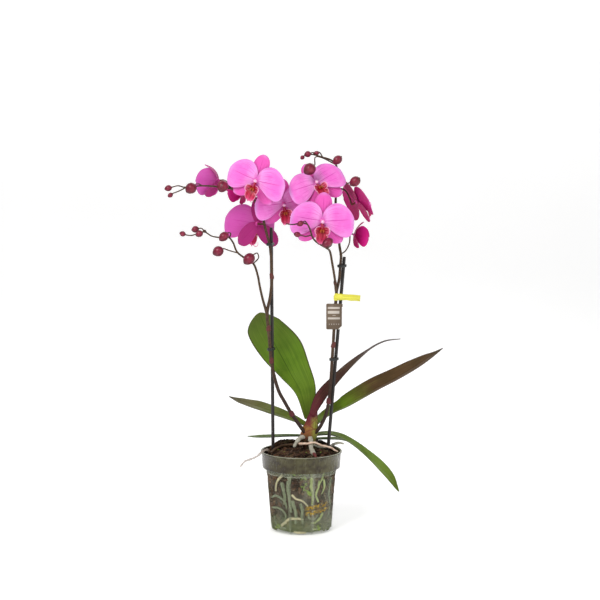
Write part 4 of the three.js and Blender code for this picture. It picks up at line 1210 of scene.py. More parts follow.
@dataclass
class BarkBed:
    """The bark: a dark core with chips against the wall, on top and on the slabs, and sprigs of moss."""

    pot: Pot
    roots: PotRoots
    slabs: tuple[Slab, ...] = (
        Slab((4.5, 7.2, 7.5, 5), ((-43, 23, 113), (-34, 35, 117.5), (-19, 45, 118.5), (-3, 48, 116.5))),
        Slab((5, 7.4, 7, 4), ((9, 48, 116), (21, 44, 117.5), (34, 36, 117), (44, 25, 114))),
    )
    top: float = 109
    dome: float = 9
    dome_reach: float = 56
    wall_chips: int = 1700
    top_chips: int = 620
    slab_chips: int = 150
    seed: int = 7

    def core(self) -> Shape:
        """The filling behind the chips."""
        pot = self.pot
        low = [(0.0, pot.floor + 0.6), (pot.foot - pot.foot_round - 4, pot.floor + 0.6)]
        wall = [(pot.inside_radius(z) - 2.3, z) for z in np.linspace(pot.foot_round, self.top - 3, 8)]
        crest = [((pot.inside_radius(self.top) - 3) * share, self.top - 2.5 + self.dome * (1 - share * share))
                 for share in (0.8, 0.6, 0.4, 0.2, 0.0)]
        body = revolved(low + wall + crest, 72)
        draw = np.random.default_rng(self.seed)
        body.tint[:] = draw.uniform(0.0, 0.3, len(body.tint))
        backs = [
            tube(slab.way, [radius - 1.4 for radius in slab.radii], 14, 40, (0.2,), 0.3, number, True)
            for number, slab in enumerate(self.slabs)
        ]
        return Shape.joined([body, *backs])

    def crest(self, spread: float) -> float:
        """The height of the bark's top at a distance from the pot's axis."""
        return self.top + self.dome * (1 - (spread / self.dome_reach) ** 2)

    @staticmethod
    def chip(draw: np.random.Generator, size: np.ndarray) -> tuple[np.ndarray, list[tuple[int, ...]]]:
        """A broken flat chip.

        Args:
            draw: the source of chance.
            size: its half length, half width and half thickness.

        Returns:
            Its corners around the origin, and its faces.
        """
        sides = int(draw.integers(5, 8))
        angles = np.sort(around(sides) + draw.uniform(-0.3, 0.3, sides))
        outline = np.stack([np.cos(angles), np.sin(angles)], 1) * draw.uniform(0.72, 1.0, (sides, 1))
        upper = np.hstack([outline * 0.86, np.full((sides, 1), 1.0) + draw.uniform(-0.3, 0.3, (sides, 1))])
        middle = np.hstack([outline, draw.uniform(-0.25, 0.25, (sides, 1))])
        lower = np.hstack([outline * 0.84, np.full((sides, 1), -1.0)])
        corners = np.vstack([lower, middle, upper]) * size
        faces = grid_faces(3, sides, wrap=True)
        faces += [tuple(range(sides))[::-1], tuple(range(2 * sides, 3 * sides))]
        return corners, faces

    def on_slabs(self, draw: np.random.Generator) -> list[Shape]:
        """Chips that cover the slabs, long ways along them.

        Args:
            draw: the random draws.

        Returns:
            The chips.
        """
        shapes = []
        for number in range(self.slab_chips):
            slab = self.slabs[number % len(self.slabs)]
            spine, radii = Spine(slab.way), Spine([(radius,) for radius in slab.radii])
            share = np.array([draw.uniform(0.02, 0.98)])
            along = spine.tangent(share)[0]
            side = unit(np.cross(along, [0, 0, 1.0]))
            turn = draw.uniform(-0.5, math.pi + 0.5)
            outward = side * math.cos(turn) + np.cross(side, along) * math.sin(turn)
            thick = draw.uniform(0.8, 1.6)
            size = np.array([draw.uniform(4, 8), draw.uniform(2, 4), thick])
            centre = spine.at(share)[0] + outward * (radii.at(share)[0, 0] - thick - draw.uniform(0.0, 1.2))
            lean = unit(along + outward * draw.uniform(-0.2, 0.2))
            face = unit(np.cross(np.cross(lean, outward), lean))
            corners, faces = self.chip(draw, size)
            placed = centre + corners @ np.stack([lean, np.cross(face, lean), face])
            shade = np.full(len(corners), draw.beta(1.4, 2.6))
            shapes.append(Shape(placed, faces, corners[:, :2] / 10, shade))
        return shapes

    def scattered(self) -> Shape:
        """Every chip, against the wall, on top and on the slabs."""
        draw = np.random.default_rng(self.seed + 1)
        samples = self.roots.samples()
        shapes = self.on_slabs(draw)
        for number in range(self.wall_chips + self.top_chips):
            on_wall = number < self.wall_chips
            thick = draw.uniform(0.9, 1.7)
            size = np.array([draw.uniform(3.2, 8.5), draw.uniform(2.2, 4.6), thick])
            turn = draw.uniform(0, 2 * math.pi)
            if on_wall:
                height = 4.5 + (self.top - 8) * draw.uniform(0, 1)
                depth = draw.uniform(0.1, 1.2)
                outward = np.array([math.sin(turn), -math.cos(turn), 0.0])
                centre = outward * (self.pot.inside_radius(height) - thick - depth) + [0, 0, height]
                size[:2] *= 0.8
            else:
                spread = math.sqrt(draw.uniform(0, 1)) * (self.pot.inside_radius(self.top) - 6.5)
                rise = self.crest(spread) - draw.uniform(0.6, 2.8)
                centre = np.array([spread * math.cos(turn), spread * math.sin(turn), rise])
                outward = unit(np.array([draw.uniform(-0.45, 0.45), draw.uniform(-0.45, 0.45), 1.0]))
            gap = np.linalg.norm(samples[:, :3] - centre, axis=1) - samples[:, 3]
            if on_wall and gap.min() < size[1] * 0.6 + 0.3:
                continue
            side = unit(np.cross(outward, [0.3, 0.2, 1.0]) if on_wall else np.cross(outward, [0.2, 1.0, 0.1]))
            other = np.cross(outward, side)
            spin = draw.uniform(0, math.pi)
            first = side * math.cos(spin) + other * math.sin(spin)
            second = np.cross(outward, first)
            corners, faces = self.chip(draw, size)
            placed = centre + corners @ np.stack([first, second, outward])
            shade = draw.beta(1.6, 2.2)
            shapes.append(Shape(placed, faces, corners[:, :2] / 10, np.full(len(corners), shade)))
        chips = Shape.joined(shapes)
        return chips.moved(self.kept_inside)

    def kept_inside(self, points: np.ndarray) -> np.ndarray:
        """Points drawn in where they would reach the pot's wall.

        Args:
            points: the points.

        Returns:
            The points, kept inside.
        """
        spread = np.hypot(points[:, 0], points[:, 1])
        limit = np.array([self.pot.inside_radius(z) for z in points[:, 2]]) - 0.4
        scale = np.minimum(limit / np.maximum(spread, 1e-6), 1)
        kept = points.copy()
        kept[:, :2] *= scale[:, None]
        kept[:, 2] = np.maximum(kept[:, 2], self.pot.floor + 0.5)
        return kept

    def moss(self) -> Shape:
        """Small green leaves and sprigs, behind the wall and on top."""
        draw = np.random.default_rng(self.seed + 2)
        sprigs = []
        seeds_at = [(-8, 92, 6), (-3, 90, 5), (4, 90, 7), (8, 91, 5), (3, 84, 5), (6, 78, 4),
                    (1, 74, 4), (3, 70, 4), (-49, 9, 5), (-44, 13, 5), (29, 12, 5), (33, 9, 5)]
        for angle, height, length in seeds_at:
            for _ in range(3):
                base = self.roots.wall_point(angle + draw.uniform(-3, 3), height + draw.uniform(-2, 2), 0.5)
                lean = unit(np.array([draw.uniform(-1, 1), 0.02, draw.uniform(-0.8, 0.6)]))
                sprigs.append(self.leaflet(base, lean, length * draw.uniform(0.6, 1.0)))
        sprigs.append(self.leaflet(self.roots.wall_point(8, 69, 0.6), unit(np.array([0.75, 0.06, -0.9])), 12))
        for _ in range(7):
            spread, turn = draw.uniform(15, 50), draw.uniform(0, 2 * math.pi)
            base = np.array([spread * math.cos(turn), spread * math.sin(turn), self.crest(spread)])
            lean = unit(np.array([draw.uniform(-1, 1), draw.uniform(-1, 1), draw.uniform(0.1, 0.5)]))
            sprigs.append(self.leaflet(base, lean, draw.uniform(3, 5)))
        return Shape.joined(sprigs)

    @staticmethod
    def leaflet(base: np.ndarray, lean: np.ndarray, length: float) -> Shape:
        """One small leaf.

        Args:
            base: its foot.
            lean: its direction.
            length: its length.

        Returns:
            The leaf as a blade.
        """
        sideways = unit(np.cross(lean, [0.1, 1.0, 0.2]))

        def surface(s: np.ndarray, t: np.ndarray) -> np.ndarray:
            """The leaf's middle surface."""
            half = length * 0.22 * np.sqrt(np.clip(s * (1 - s) * 4, 0, 1))
            return base + lean * (length * s)[:, None] + sideways * (t * half)[:, None]

        return blade(surface, 8, 4, lambda s, t: np.full_like(s, 0.5))

    def build(self) -> None:
        """Makes the core, the chips and the moss."""
        finish = BarkFinish().material()
        self.core().place("bark_core", finish, "bark", "substrate")
        chips = self.scattered().to_object("bark_chips", finish, weld=False)
        chips.data.polygons.foreach_set("use_smooth", [False] * len(chips.data.polygons))
        place(chips, "bark", "substrate")
        moss = GrownFinish("moss_green", (128, 150, 66), (92, 116, 44), (128, 150, 66), 300, 0.6, 0.1)
        self.moss().place("moss_sprigs", moss.material(), "leaf", "substrate")


# ---------------------------------------------------------------- crown, roots and leaves
@dataclass
class Sheath:
    """One leaf foot that wraps the crown: its top in front, its slope and its direction."""

    top: float
    slope: float
    toward: float
    step: float


@dataclass
class Crown:
    """The short stem, wrapped in overlapping leaf feet; each ring is (height, wide, deep, shift)."""

    x: float = 10
    y: float = 12
    rings: tuple[tuple[float, float, float, float], ...] = (
        (104, 4.5, 4.5, 0), (121, 6, 6, 0), (128, 9.5, 8, -0.5), (137, 12, 9, 0.5), (148, 12, 8.5, 3),
        (158, 9.5, 7.2, 5.5), (170, 7.6, 5.6, 7.5), (181, 5, 4, 9.5),
    )
    sheaths: tuple[Sheath, ...] = (
        Sheath(131, 4, -120, 0.5), Sheath(139, 9, -55, 0.6), Sheath(146, 9, -140, 0.5),
        Sheath(153, 11, -20, 0.6), Sheath(161, 9, -150, 0.5), Sheath(170, 7, -60, 0.35),
    )
    sides: int = 96
    levels: int = 110

    def build(self) -> None:
        """Makes the crown; the tint marks the edge of each leaf foot."""
        heights = np.linspace(self.rings[0][0], self.rings[-1][0] - 0.2, self.levels)
        table = np.asarray(self.rings, float)
        wide, deep, shift = (np.interp(heights, table[:, 0], table[:, k]) for k in (1, 2, 3))
        level = np.repeat(heights, self.sides)
        turn = np.tile(around(self.sides), self.levels)
        extra = np.zeros(len(level))
        tint = np.zeros(len(level))
        for sheath in self.sheaths:
            turned = np.cos(turn - math.radians(sheath.toward))
            below = sheath.top + sheath.slope * turned - level
            extra += sheath.step * (smooth_step(below, -0.4, 0.4) - 0.5)
            tint = np.maximum(tint, np.exp(-((below + 0.5) / 0.9) ** 2))
        extra += 0.25 * np.sin(turn * 17) * smooth_step(level, 122, 130)
        x = self.x + np.repeat(shift, self.sides) + (np.repeat(wide, self.sides) + extra) * np.cos(turn)
        y = self.y + (np.repeat(deep, self.sides) + extra) * np.sin(turn)
        points = np.stack([x, y, level], 1)
        points = np.vstack([points, [[self.x + shift[-1], self.y, heights[-1] + 0.2]]])
        faces = grid_faces(self.levels, self.sides, wrap=True)
        last = (self.levels - 1) * self.sides
        faces += [(len(points) - 1, last + k, last + (k + 1) % self.sides) for k in range(self.sides)]
        uv = np.vstack([np.stack([turn / 6.3, level / 50], 1), [[0.5, 3.6]]])
        shape = Shape(points, faces, uv, np.append(tint, 0.0))
        shape.place("crown_sheaths", CrownFinish().material(), "crown", "crown")


@dataclass
class AerialRoot:
    """A root above the bark: its radii and places, and where it is tipped with fresh growth."""

    node: str
    slot: str
    radii: tuple[float, ...]
    points: tuple[Point, ...]
    tint: tuple[float, ...]

    def build(self, finish: Material) -> None:
        """Makes the root.

        Args:
            finish: its material.
        """
        rings = 14 * len(self.points)
        shape = tube(self.points, self.radii, 18, rings, self.tint, 0.13, len(self.node), True)
        shape.place(f"{self.node}_grown", finish, self.slot, self.node)


AERIAL_ROOTS = (
    AerialRoot("root_front", "root_grey", (3.3, 3.4, 3, 3.6, 2.6, 1.5),
               ((13, 8, 138), (14, -6, 131), (14.4, -22, 126), (16.5, -38, 122.6), (18.5, -52, 122.6),
                (21, -63, 121.4)), (0, 0, 0, 0, 0, 0, 0, 0, 0, 0, 0.9, 1, 1)),
    AerialRoot("root_left_stub", "root_grey", (3.2, 3.1, 1.9),
               ((6, 8, 136.5), (-2, -1, 136), (-8, -8, 129.5), (-11, -11, 124)), (0, 0, 0)),
    AerialRoot("root_wavy", "root_pale", (1.9, 1.6, 1.5, 1.3),
               ((4, 8, 126), (-1, -4, 127.5), (-2, -13, 130), (4, -17, 131), (10, -18, 131.4), (16, -19, 133),
                (21.5, -17, 132), (29, -15, 128), (38, -14, 126), (45, -14, 123.6), (50, -13, 119.8),
                (54, -12, 117.8)), (0, 0)),
    AerialRoot("root_over_rim", "root_pale", (1.8, 1.8, 1.6, 1.2),
               ((6, 12, 125), (-10, 23, 121.5), (-24, 25, 120.5), (-36, 11, 119), (-44, -6, 116.5),
                (-46, -22, 119), (-50, -31, 125), (-56, -33, 123), (-64, -34, 116), (-73, -36, 112),
                (-82, -38, 109), (-89, -40, 101)),
               (0, 0, 0, 0, 0, 0.1, 0.45, 0.5, 0.9, 1, 1, 1)),
    AerialRoot("root_right_tip", "root_pale", (1.7, 1.8, 2.2, 1.2),
               ((16, 14, 124), (28, 24, 117.5), (42, 28, 117.5), (49, 30, 121), (56, 33, 122.2),
                (64, 37, 120)),
               (0, 0)),
)


@dataclass
class Rib:
    """A place along a leaf's midrib: half widths to the left and right, fold in degrees, facing."""

    at: Point
    left: float
    right: float
    fold: float
    face: Point


@dataclass
class Leaf:
    """A fleshy leaf on its ribs; blunt is how late along it the tip rounds off."""

    node: str
    slot: str
    blunt: float
    ribs: tuple[Rib, ...]
    finish: LeafFinish
    middle: float = 2.2
    edge: float = 1.0

    def surface(self) -> Surface:
        """The leaf's middle surface."""
        midrib = Spine([rib.at for rib in self.ribs])
        faces = Spine([unit(np.array(rib.face, float)) for rib in self.ribs])
        sizes = Spine([(rib.left, rib.right, rib.fold) for rib in self.ribs])

        def point(s: np.ndarray, t: np.ndarray) -> np.ndarray:
            """The leaf's middle surface.

            Args:
                s: shares from foot to tip.
                t: places from -1 to 1 across.

            Returns:
                The points there.
            """
            tangent = midrib.tangent(s)
            across = unit(np.cross(tangent, faces.at(s)))
            face = unit(np.cross(across, tangent))
            left, right, fold = sizes.at(s).T
            width = np.where(t < 0, left, right) * np.sqrt(np.maximum(1 - s ** self.blunt, 0))
            lift = np.radians(np.maximum(fold, 0))
            away = np.abs(t) ** 1.12
            return (midrib.at(s) + across * (t * width * np.cos(lift))[:, None]
                    + face * (away * width * np.sin(lift))[:, None])

        return point

    def build(self) -> None:
        """Makes the leaf."""

        def thickness(s: np.ndarray, t: np.ndarray) -> np.ndarray:
            """Thickest on the midrib, rounded off at the margin."""
            base = self.middle + (self.edge - self.middle) * np.maximum(np.abs(t), s * s)
            return base * np.sqrt(np.clip(1.04 - np.abs(t) ** 12, 0.04, 1))

        shape = blade(self.surface(), 72, 28, thickness)
        shape.tint[:] = 1 - shape.tint
        shape.place(f"{self.node}_blade", self.finish.material(), self.slot, self.node)


LEAVES = (
    Leaf("leaf_upright", "leaf", 9, (
        Rib((9, 17, 162), 4.5, 8, 14, (0.2, -1, 0.3)),
        Rib((-2, 27, 201), 8.5, 25, 14, (0.15, -1, 0.3)),
        Rib((-17, 37, 228), 17, 32, 12, (0.1, -1, 0.3)),
        Rib((-34, 46, 259), 27, 36.5, 10, (0, -1, 0.3)),
        Rib((-54, 54, 296), 31, 25, 6, (-0.05, -1, 0.3)),
        Rib((-63, 57, 315), 20, 12, 0, (-0.1, -1, 0.3)),
    ), LeafFinish("leaf_bright", ((0.0, (82, 96, 30)), (0.2, (92, 118, 30)), (0.5, (90, 122, 30)),
                                  (0.8, (84, 104, 38)), (1.0, (80, 88, 40))),
                   (58, 44, 26), (92, 112, 56), (60, 86, 22))),
    Leaf("leaf_left_upper", "leaf", 5, (
        Rib((6, 14, 152), 7, 6, 30, (0, -0.2, 1)),
        Rib((-17, 28, 159), 12, 12, 20, (0, -0.18, 1)),
        Rib((-44, 41, 167), 16, 17, 14, (0, -0.16, 1)),
        Rib((-68, 50, 174.5), 17, 18, 10, (0, -0.16, 1)),
        Rib((-90, 56, 181), 14, 14, 6, (0, -0.16, 1)),
        Rib((-109, 60, 188), 3, 3, 0, (0, -0.2, 1)),
    ), LeafFinish("leaf_olive", ((0.0, (92, 112, 24)), (0.35, (90, 102, 20)), (0.7, (90, 84, 34)),
                                 (1.0, (70, 58, 42))), (52, 42, 24), (88, 96, 46), (66, 68, 26))),
    Leaf("leaf_left_lower", "leaf", 5, (
        Rib((3, 16, 136), 5, 5, 20, (0, 0, 1)),
        Rib((-21, 30, 133), 9, 9, 12, (0, 0, 1)),
        Rib((-47, 39, 130), 13, 13, 8, (0, 0, 1)),
        Rib((-65, 43, 129.5), 12, 12, 6, (0, 0, 1)),
        Rib((-81, 46, 130), 3, 3, 0, (0, 0, 1)),
    ), LeafFinish("leaf_deep", ((0.0, (70, 86, 26)), (0.5, (80, 102, 32)), (1.0, (86, 104, 36))),
                  (46, 62, 28), (64, 90, 44), (50, 72, 30))),
    Leaf("leaf_purple", "leaf_purple", 4, (
        Rib((18, 7, 166), 7, 9, 30, (-0.8, 0.6, 0.2)),
        Rib((32, 17, 190), 13, 16, 24, (-0.7, 0.6, 0.25)),
        Rib((49, 34, 208.5), 17, 17, 20, (-0.7, 0.55, 0.5)),
        Rib((68, 45, 228.5), 17, 17, 16, (-0.65, 0.5, 0.75)),
        Rib((87, 53, 246.5), 16, 16, 12, (-0.5, 0.35, 0.9)),
        Rib((106, 58, 262), 13, 13, 8, (-0.35, 0.16, 1)),
        Rib((127, 61, 272), 9, 9, 4, (-0.2, 0.05, 1)),
        Rib((149, 62, 275), 2, 2, 0, (0, 0, 1)),
    ), LeafFinish("leaf_wine", ((0.0, (104, 24, 46)), (0.12, (94, 28, 42)), (0.24, (82, 48, 40)),
                                (0.5, (88, 72, 62)), (1.0, (76, 64, 58))), (44, 26, 26), (84, 62, 54),
                  (50, 26, 28), 0.3)),
    Leaf("leaf_long_right", "leaf", 5, (
        Rib((19, 15, 150), 9, 9, 30, (-0.4, -0.3, 1)),
        Rib((43, 43.4, 163.5), 14, 10.8, 24, (-0.4, -0.3, 1)),
        Rib((67, 44, 176), 22, 20, 20, (-0.4, -0.3, 1)),
        Rib((91, 51, 188.5), 25, 23, 20, (-0.4, -0.3, 1)),
        Rib((115, 57, 201), 26, 24, 20, (-0.4, -0.3, 1)),
        Rib((140, 61, 213.5), 25, 23, 19, (-0.4, -0.3, 1)),
        Rib((166, 64, 228.5), 24, 20, 16, (-0.4, -0.3, 1)),
        Rib((190, 67, 244), 20, 14, 10, (-0.4, -0.3, 1)),
        Rib((213, 69, 260), 5, 4, 0, (-0.4, -0.3, 1)),
    ), LeafFinish("leaf_brown_green", ((0.0, (118, 140, 34)), (0.24, (106, 138, 28)), (0.36, (100, 108, 34)),
                                       (0.48, (90, 66, 40)), (0.85, (84, 62, 40)), (1.0, (58, 46, 28))),
                  (54, 32, 22), (84, 54, 42), (62, 50, 26))),
    Leaf("leaf_drooping", "leaf", 7, (
        Rib((18, 14, 137), 6, 6, 24, (0, -0.1, 1)),
        Rib((44, 35, 134), 10, 10, 18, (0.1, -0.12, 1)),
        Rib((63, 40, 127), 13, 11, 14, (0.5, -0.15, 1)),
        Rib((82, 46, 114), 15, 12, 12, (0.7, -0.2, 1)),
        Rib((101, 49, 98), 16, 12, 10, (0.9, -0.3, 0.8)),
        Rib((119, 50, 81), 17, 12, 8, (1, -0.5, 0.8)),
        Rib((135, 49, 64), 15, 12, 5, (1, -0.6, 0.7)),
        Rib((147, 47, 45), 7, 6, 0, (1, -0.6, 0.6)),
    ), LeafFinish("leaf_drooping_green", ((0.0, (92, 108, 24)), (0.3, (86, 108, 18)), (0.7, (106, 132, 44)),
                                          (1.0, (94, 108, 28))), (54, 70, 18), (72, 90, 22), (64, 84, 16))),
    Leaf("leaf_back_right", "leaf", 5, (
        Rib((17, 18, 131), 4, 4, 20, (0, 0, 1)),
        Rib((44, 44, 126), 8, 8, 12, (0.1, 0, 1)),
        Rib((63, 62, 121), 9, 9, 8, (0.2, 0, 1)),
        Rib((82, 74, 112), 3, 3, 0, (0.3, 0, 1)),
    ), LeafFinish("leaf_back", ((0.0, (78, 98, 20)), (0.6, (104, 126, 30)), (1.0, (72, 62, 34))),
                  (46, 66, 20), (66, 86, 32), (58, 82, 24))),
)


# ---------------------------------------------------------------- flowers
@dataclass(frozen=True)
class Tepal:
    """A petal or sepal: its turn in the flower's plane, its sizes, and how it leans, curls and cups.

    slow and slim say, for the upper and the lower side, how late it widens and how early it narrows.
    """

    heading: float
    length: float
    upper: float
    lower: float
    slow: tuple[float, float]
    slim: tuple[float, float]
    lift: float
    tilt: float
    curl: float
    cup: float
    wave: float
    mirrored: bool = False
    thickness: float = 0.8

    def surface(self) -> Surface:
        """The middle surface in the flower's frame: X right, Y up, Z where the flower looks."""

        def half_width(s: np.ndarray, width: float, early: float, late: float) -> np.ndarray:
            """Half width of one side.

            Args:
                s: shares from foot to tip.
                width: the widest.
                early: how early it widens.
                late: how late it narrows.

            Returns:
                The half widths there.
            """
            peak = early / (early + late)
            norm = peak ** early * (1 - peak) ** late
            return width * s ** early * (1 - s) ** late / norm + 2.2 * (1 - s) ** 3

        def outline(s: np.ndarray, t: np.ndarray) -> np.ndarray:
            """Half width on the side that t is on.

            Args:
                s: shares from foot to tip.
                t: places from -1 to 1 across.

            Returns:
                The half widths there.
            """
            upper = half_width(s, self.upper, self.slow[0], self.slim[0])
            lower = half_width(s, self.lower, self.slow[1], self.slim[1])
            return np.where(t < 0, lower, upper)

        def plain(s: np.ndarray, t: np.ndarray, heading: float) -> np.ndarray:
            """The surface of a tepal.

            Args:
                s: shares from foot to tip.
                t: places from -1 to 1 across.
                heading: its turn in the flower's plane.

            Returns:
                The points there.
            """
            turn, start = math.radians(heading), math.radians(self.tilt)
            s = np.clip(s, 0, 1)
            end = start + np.radians(self.curl * s)
            bend = end - start
            bend = np.where(np.abs(bend) < 1e-6, 1e-6, bend)
            ripple = self.wave * np.sin(7 * s + 2.4 * t) * t * t * s
            rise = ripple - self.cup * t * t * np.minimum(1.6 * s, 1)
            away = self.length * s * (np.sin(end) - np.sin(start)) / bend - rise * np.sin(end)
            ahead = self.length * s * (np.cos(start) - np.cos(end)) / bend + rise * np.cos(end)
            side = t * outline(s, t)
            return np.stack([away * math.cos(turn) - side * math.sin(turn),
                             away * math.sin(turn) + side * math.cos(turn), self.lift + ahead], 1)

        if not self.mirrored:
            return lambda s, t: plain(s, t, self.heading)
        return lambda s, t: plain(s, -t, 180 - self.heading) * [-1, 1, 1]

    def build(self, rows: int = 40, columns: int = 30) -> Shape:
        """The blade, thin at its margin."""
        return blade(self.surface(), rows, columns,
                     lambda s, t: self.thickness * np.sqrt(np.clip(1.06 - np.abs(t) ** 10, 0.06, 1)))


def tepals(petals_in: float, sepals_in: float) -> tuple[list[Tepal], list[Tepal]]:
    """The petals and sepals of a flower.

    Args:
        petals_in: how far its petals close forward, in degrees.
        sepals_in: the same for its sepals.

    Returns:
        Two petals, and three sepals.
    """
    petal = dict(length=47, upper=25, lower=26.5, slow=(0.58, 1), slim=(0.66, 0.36), lift=0.3,
                 tilt=8 + petals_in * 0.5, curl=-16 + petals_in * 0.8, cup=1.2 - petals_in * 0.14, wave=1.1)
    sepal = dict(slow=(0.62, 0.84), slim=(0.52, 0.52), lift=-1.7, tilt=2 + sepals_in * 0.1,
                 curl=-14 + sepals_in * 1.25, cup=1.4, wave=0.3)
    return (
        [Tepal(heading=7, **petal), Tepal(heading=173, mirrored=True, **petal)],
        [Tepal(heading=90, length=42, upper=13, lower=13, **sepal),
         Tepal(heading=-136, length=44, upper=12.5, lower=12.5, **sepal),
         Tepal(heading=-44, length=44, upper=12.5, lower=12.5, **sepal)],
    )


@dataclass(frozen=True)
class FlowerSkins:
    """The materials that all the flowers share."""

    petal: Material
    sepal: Material
    shaded_petal: Material
    shaded_sepal: Material
    column: Material
    lip: Material


@dataclass(frozen=True)
class Bloom:
    """An open or opening flower: where it sits and looks, its size and its stalk's way from the spike."""

    number: int
    side: Side
    at: Point
    turn: float
    tilt: float
    roll: float
    size: float
    stalk: tuple[Point, ...]
    petals_in: float = 0
    sepals_in: float = 0
    lip: float = 1.0
    # deep picks the darker skins, which are painted shade.
    deep: bool = False

    @property
    def look(self) -> np.ndarray:
        """The direction in which the flower looks."""
        side, rise = math.radians(self.turn), math.radians(self.tilt)
        return np.array([math.sin(side) * math.cos(rise), -math.cos(side) * math.cos(rise), math.sin(rise)])

    def to_plant(self, points: np.ndarray) -> np.ndarray:
        """Moves points to the flower's place.

        Args:
            points: points in the flower's own frame.

        Returns:
            The points on the plant.
        """
        look = self.look
        right = unit(np.cross([0, 0, 1.0], look))
        up = np.cross(look, right)
        roll = math.radians(self.roll)
        x = points[:, 0] * math.cos(roll) - points[:, 1] * math.sin(roll)
        y = points[:, 0] * math.sin(roll) + points[:, 1] * math.cos(roll)
        turned = x[:, None] * right + y[:, None] * up + points[:, 2, None] * look
        return np.array(self.at) + self.size * turned

    def pedicel(self) -> Shape:
        """The stalk from the spike to the back of the flower."""
        look = self.look
        seat = np.array(self.at) - look * (4 * self.size + 0.35)
        behind = seat - look * 6 * self.size
        thin = 1.5 * max(self.size, 0.7)
        way = [*self.stalk, tuple(behind), tuple(seat)]
        return tube(way, [thin, thin * 0.9, thin, thin * 1.25], 12, 10 * len(way), (0.1, 0.25, 0.5, 0.6))

    def column(self) -> Shape:
        """The flower's centre and its column with the cap at the end."""
        hub = tube(((0, 0, -4), (0, 0, -1.4), (0, 0, 0.8), (0, 0, 2.2)), [2.6, 4.2, 4.0, 2.4], 20, 16,
                   (0, 0.2, 0.6))
        body = tube(((0, 0, 0), (0, 0.6, 4.5), (0, 0, 8), (0, -0.8, 9.9)), [2.7, 2.1, 2.8, 1.5], 20, 26,
                    (0.2, 0.6, 1, 1), round_end=True)
        return Shape.joined([hub, body])

    def lip_shape(self) -> Shape:
        """The lip: claw, crest, side lobes beside the column, front lobe and its two tendrils."""
        share = self.lip

        def at(x: float, y: float, z: float) -> tuple[float, float, float]:
            """A point scaled with the lip."""
            return (x * share, y * share, z * share)

        claw = tube((at(0, -1.5, 2.6), at(0, -7, 6.6), at(0, -9.6, 9), at(0, -9.4, 12)),
                    [1.5 * share, 2.2 * share, 2.7 * share, 0.9 * share], 14, 20, round_end=True)
        claw.uv[:, 1] = 0.3
        front = lobe((at(0, -10, 8), at(0, -17, 11), at(0, -25, 12.4), at(0, -32.5, 9)), 10.8 * share,
                     (1, 0, 0), share)
        front.tint[:] = 0.0
        parts = [claw, front]
        for hand in (-1, 1):
            ear = lobe((at(hand * 1.2, -12.4, 8.4), at(hand * 6.6, -12.6, 10.8), at(hand * 11.6, -11.4, 15)),
                       7.6 * share, (-0.12, hand * 1, -0.1), share)
            ear.tint[:] = 1.0
            parts.append(ear)
            crest = tube((at(hand * 0.9, -11.4, 10), at(hand * 1.9, -12.6, 12.8),
                          at(hand * 1.6, -15.4, 13.2)),
                         [1.3 * share, 1.5 * share, 0.7 * share], 12, 14, round_end=True)
            crest.uv[:] = (0.52, 0.02)
            parts.append(crest)
            tendril = tube((at(hand * 0.8, -31.0, 9.8), at(hand * 2.4, -33.6, 8.0),
                            at(hand * 4.6, -33.2, 4.6), at(hand * 5.4, -30, 2.8),
                            at(hand * 4.4, -27.6, 4.2)),
                           [0.6 * share, 0.45 * share, 0.35 * share], 8, 30, round_end=True)
            tendril.uv[:] = (0.5, 0.97)
            parts.append(tendril)
        return Shape.joined(parts)

    def build(self, skins: FlowerSkins) -> None:
        """Makes the flower's petals, sepals, column and lip.

        Args:
            skins: the materials that the flowers share.
        """
        petals, sepals = tepals(self.petals_in, self.sepals_in)
        node, lip = f"bloom_{self.number}", f"lip_{self.number}"
        # Flowers marked deep get the darker skins: painted shade.
        petal_skin = skins.shaded_petal if self.deep else skins.petal
        sepal_skin = skins.shaded_sepal if self.deep else skins.sepal
        front = Shape.joined([tepal.build() for tepal in petals])
        behind = Shape.joined([tepal.build(32, 20) for tepal in sepals])
        pieces = (
            (f"{node}_petals", front, petal_skin, "petal", node),
            (f"{node}_sepals", behind, sepal_skin, "petal", node),
            (f"{node}_column", self.column(), skins.column, "petal", node),
            (f"{lip}_lobes", self.lip_shape(), skins.lip, "lip", lip),
        )
        for name, shape, skin, slot, stands_for in pieces:
            shape.moved(self.to_plant).place(name, skin, slot, stands_for)


def lobe(line: Sequence[Point], half: float, spread: Point, share: float) -> Shape:
    """A lobe of the lip.

    Args:
        line: its middle line.
        half: its greatest half width.
        spread: the direction in which it spreads.
        share: the lip's scale, for the fine relief.

    Returns:
        The lobe as a blade.
    """
    spine = Spine(line)
    across = unit(np.array(spread, float))
    up = unit(np.cross(spine.tangent(np.array([0.5]))[0], across))

    def point(s: np.ndarray, t: np.ndarray) -> np.ndarray:
        """The lobe's middle surface.

        Args:
            s: shares from foot to tip.
            t: places from -1 to 1 across.

        Returns:
            The points there.
        """
        s = np.clip(s, 0, 1)
        width = half * (s ** 0.6 * (1 - s) ** 0.5 / 0.59 + 0.15 * (1 - s))
        ripple = 0.35 * share * np.sin(9 * s + 3 * t) * t * t
        return (spine.at(s) + across * (t * width)[:, None]
                + up * ((2 * t * t * s + ripple) * min(share * 1.2, 1))[:, None])

    return blade(point, 22, 16, lambda s, t: np.full_like(s, 0.75))


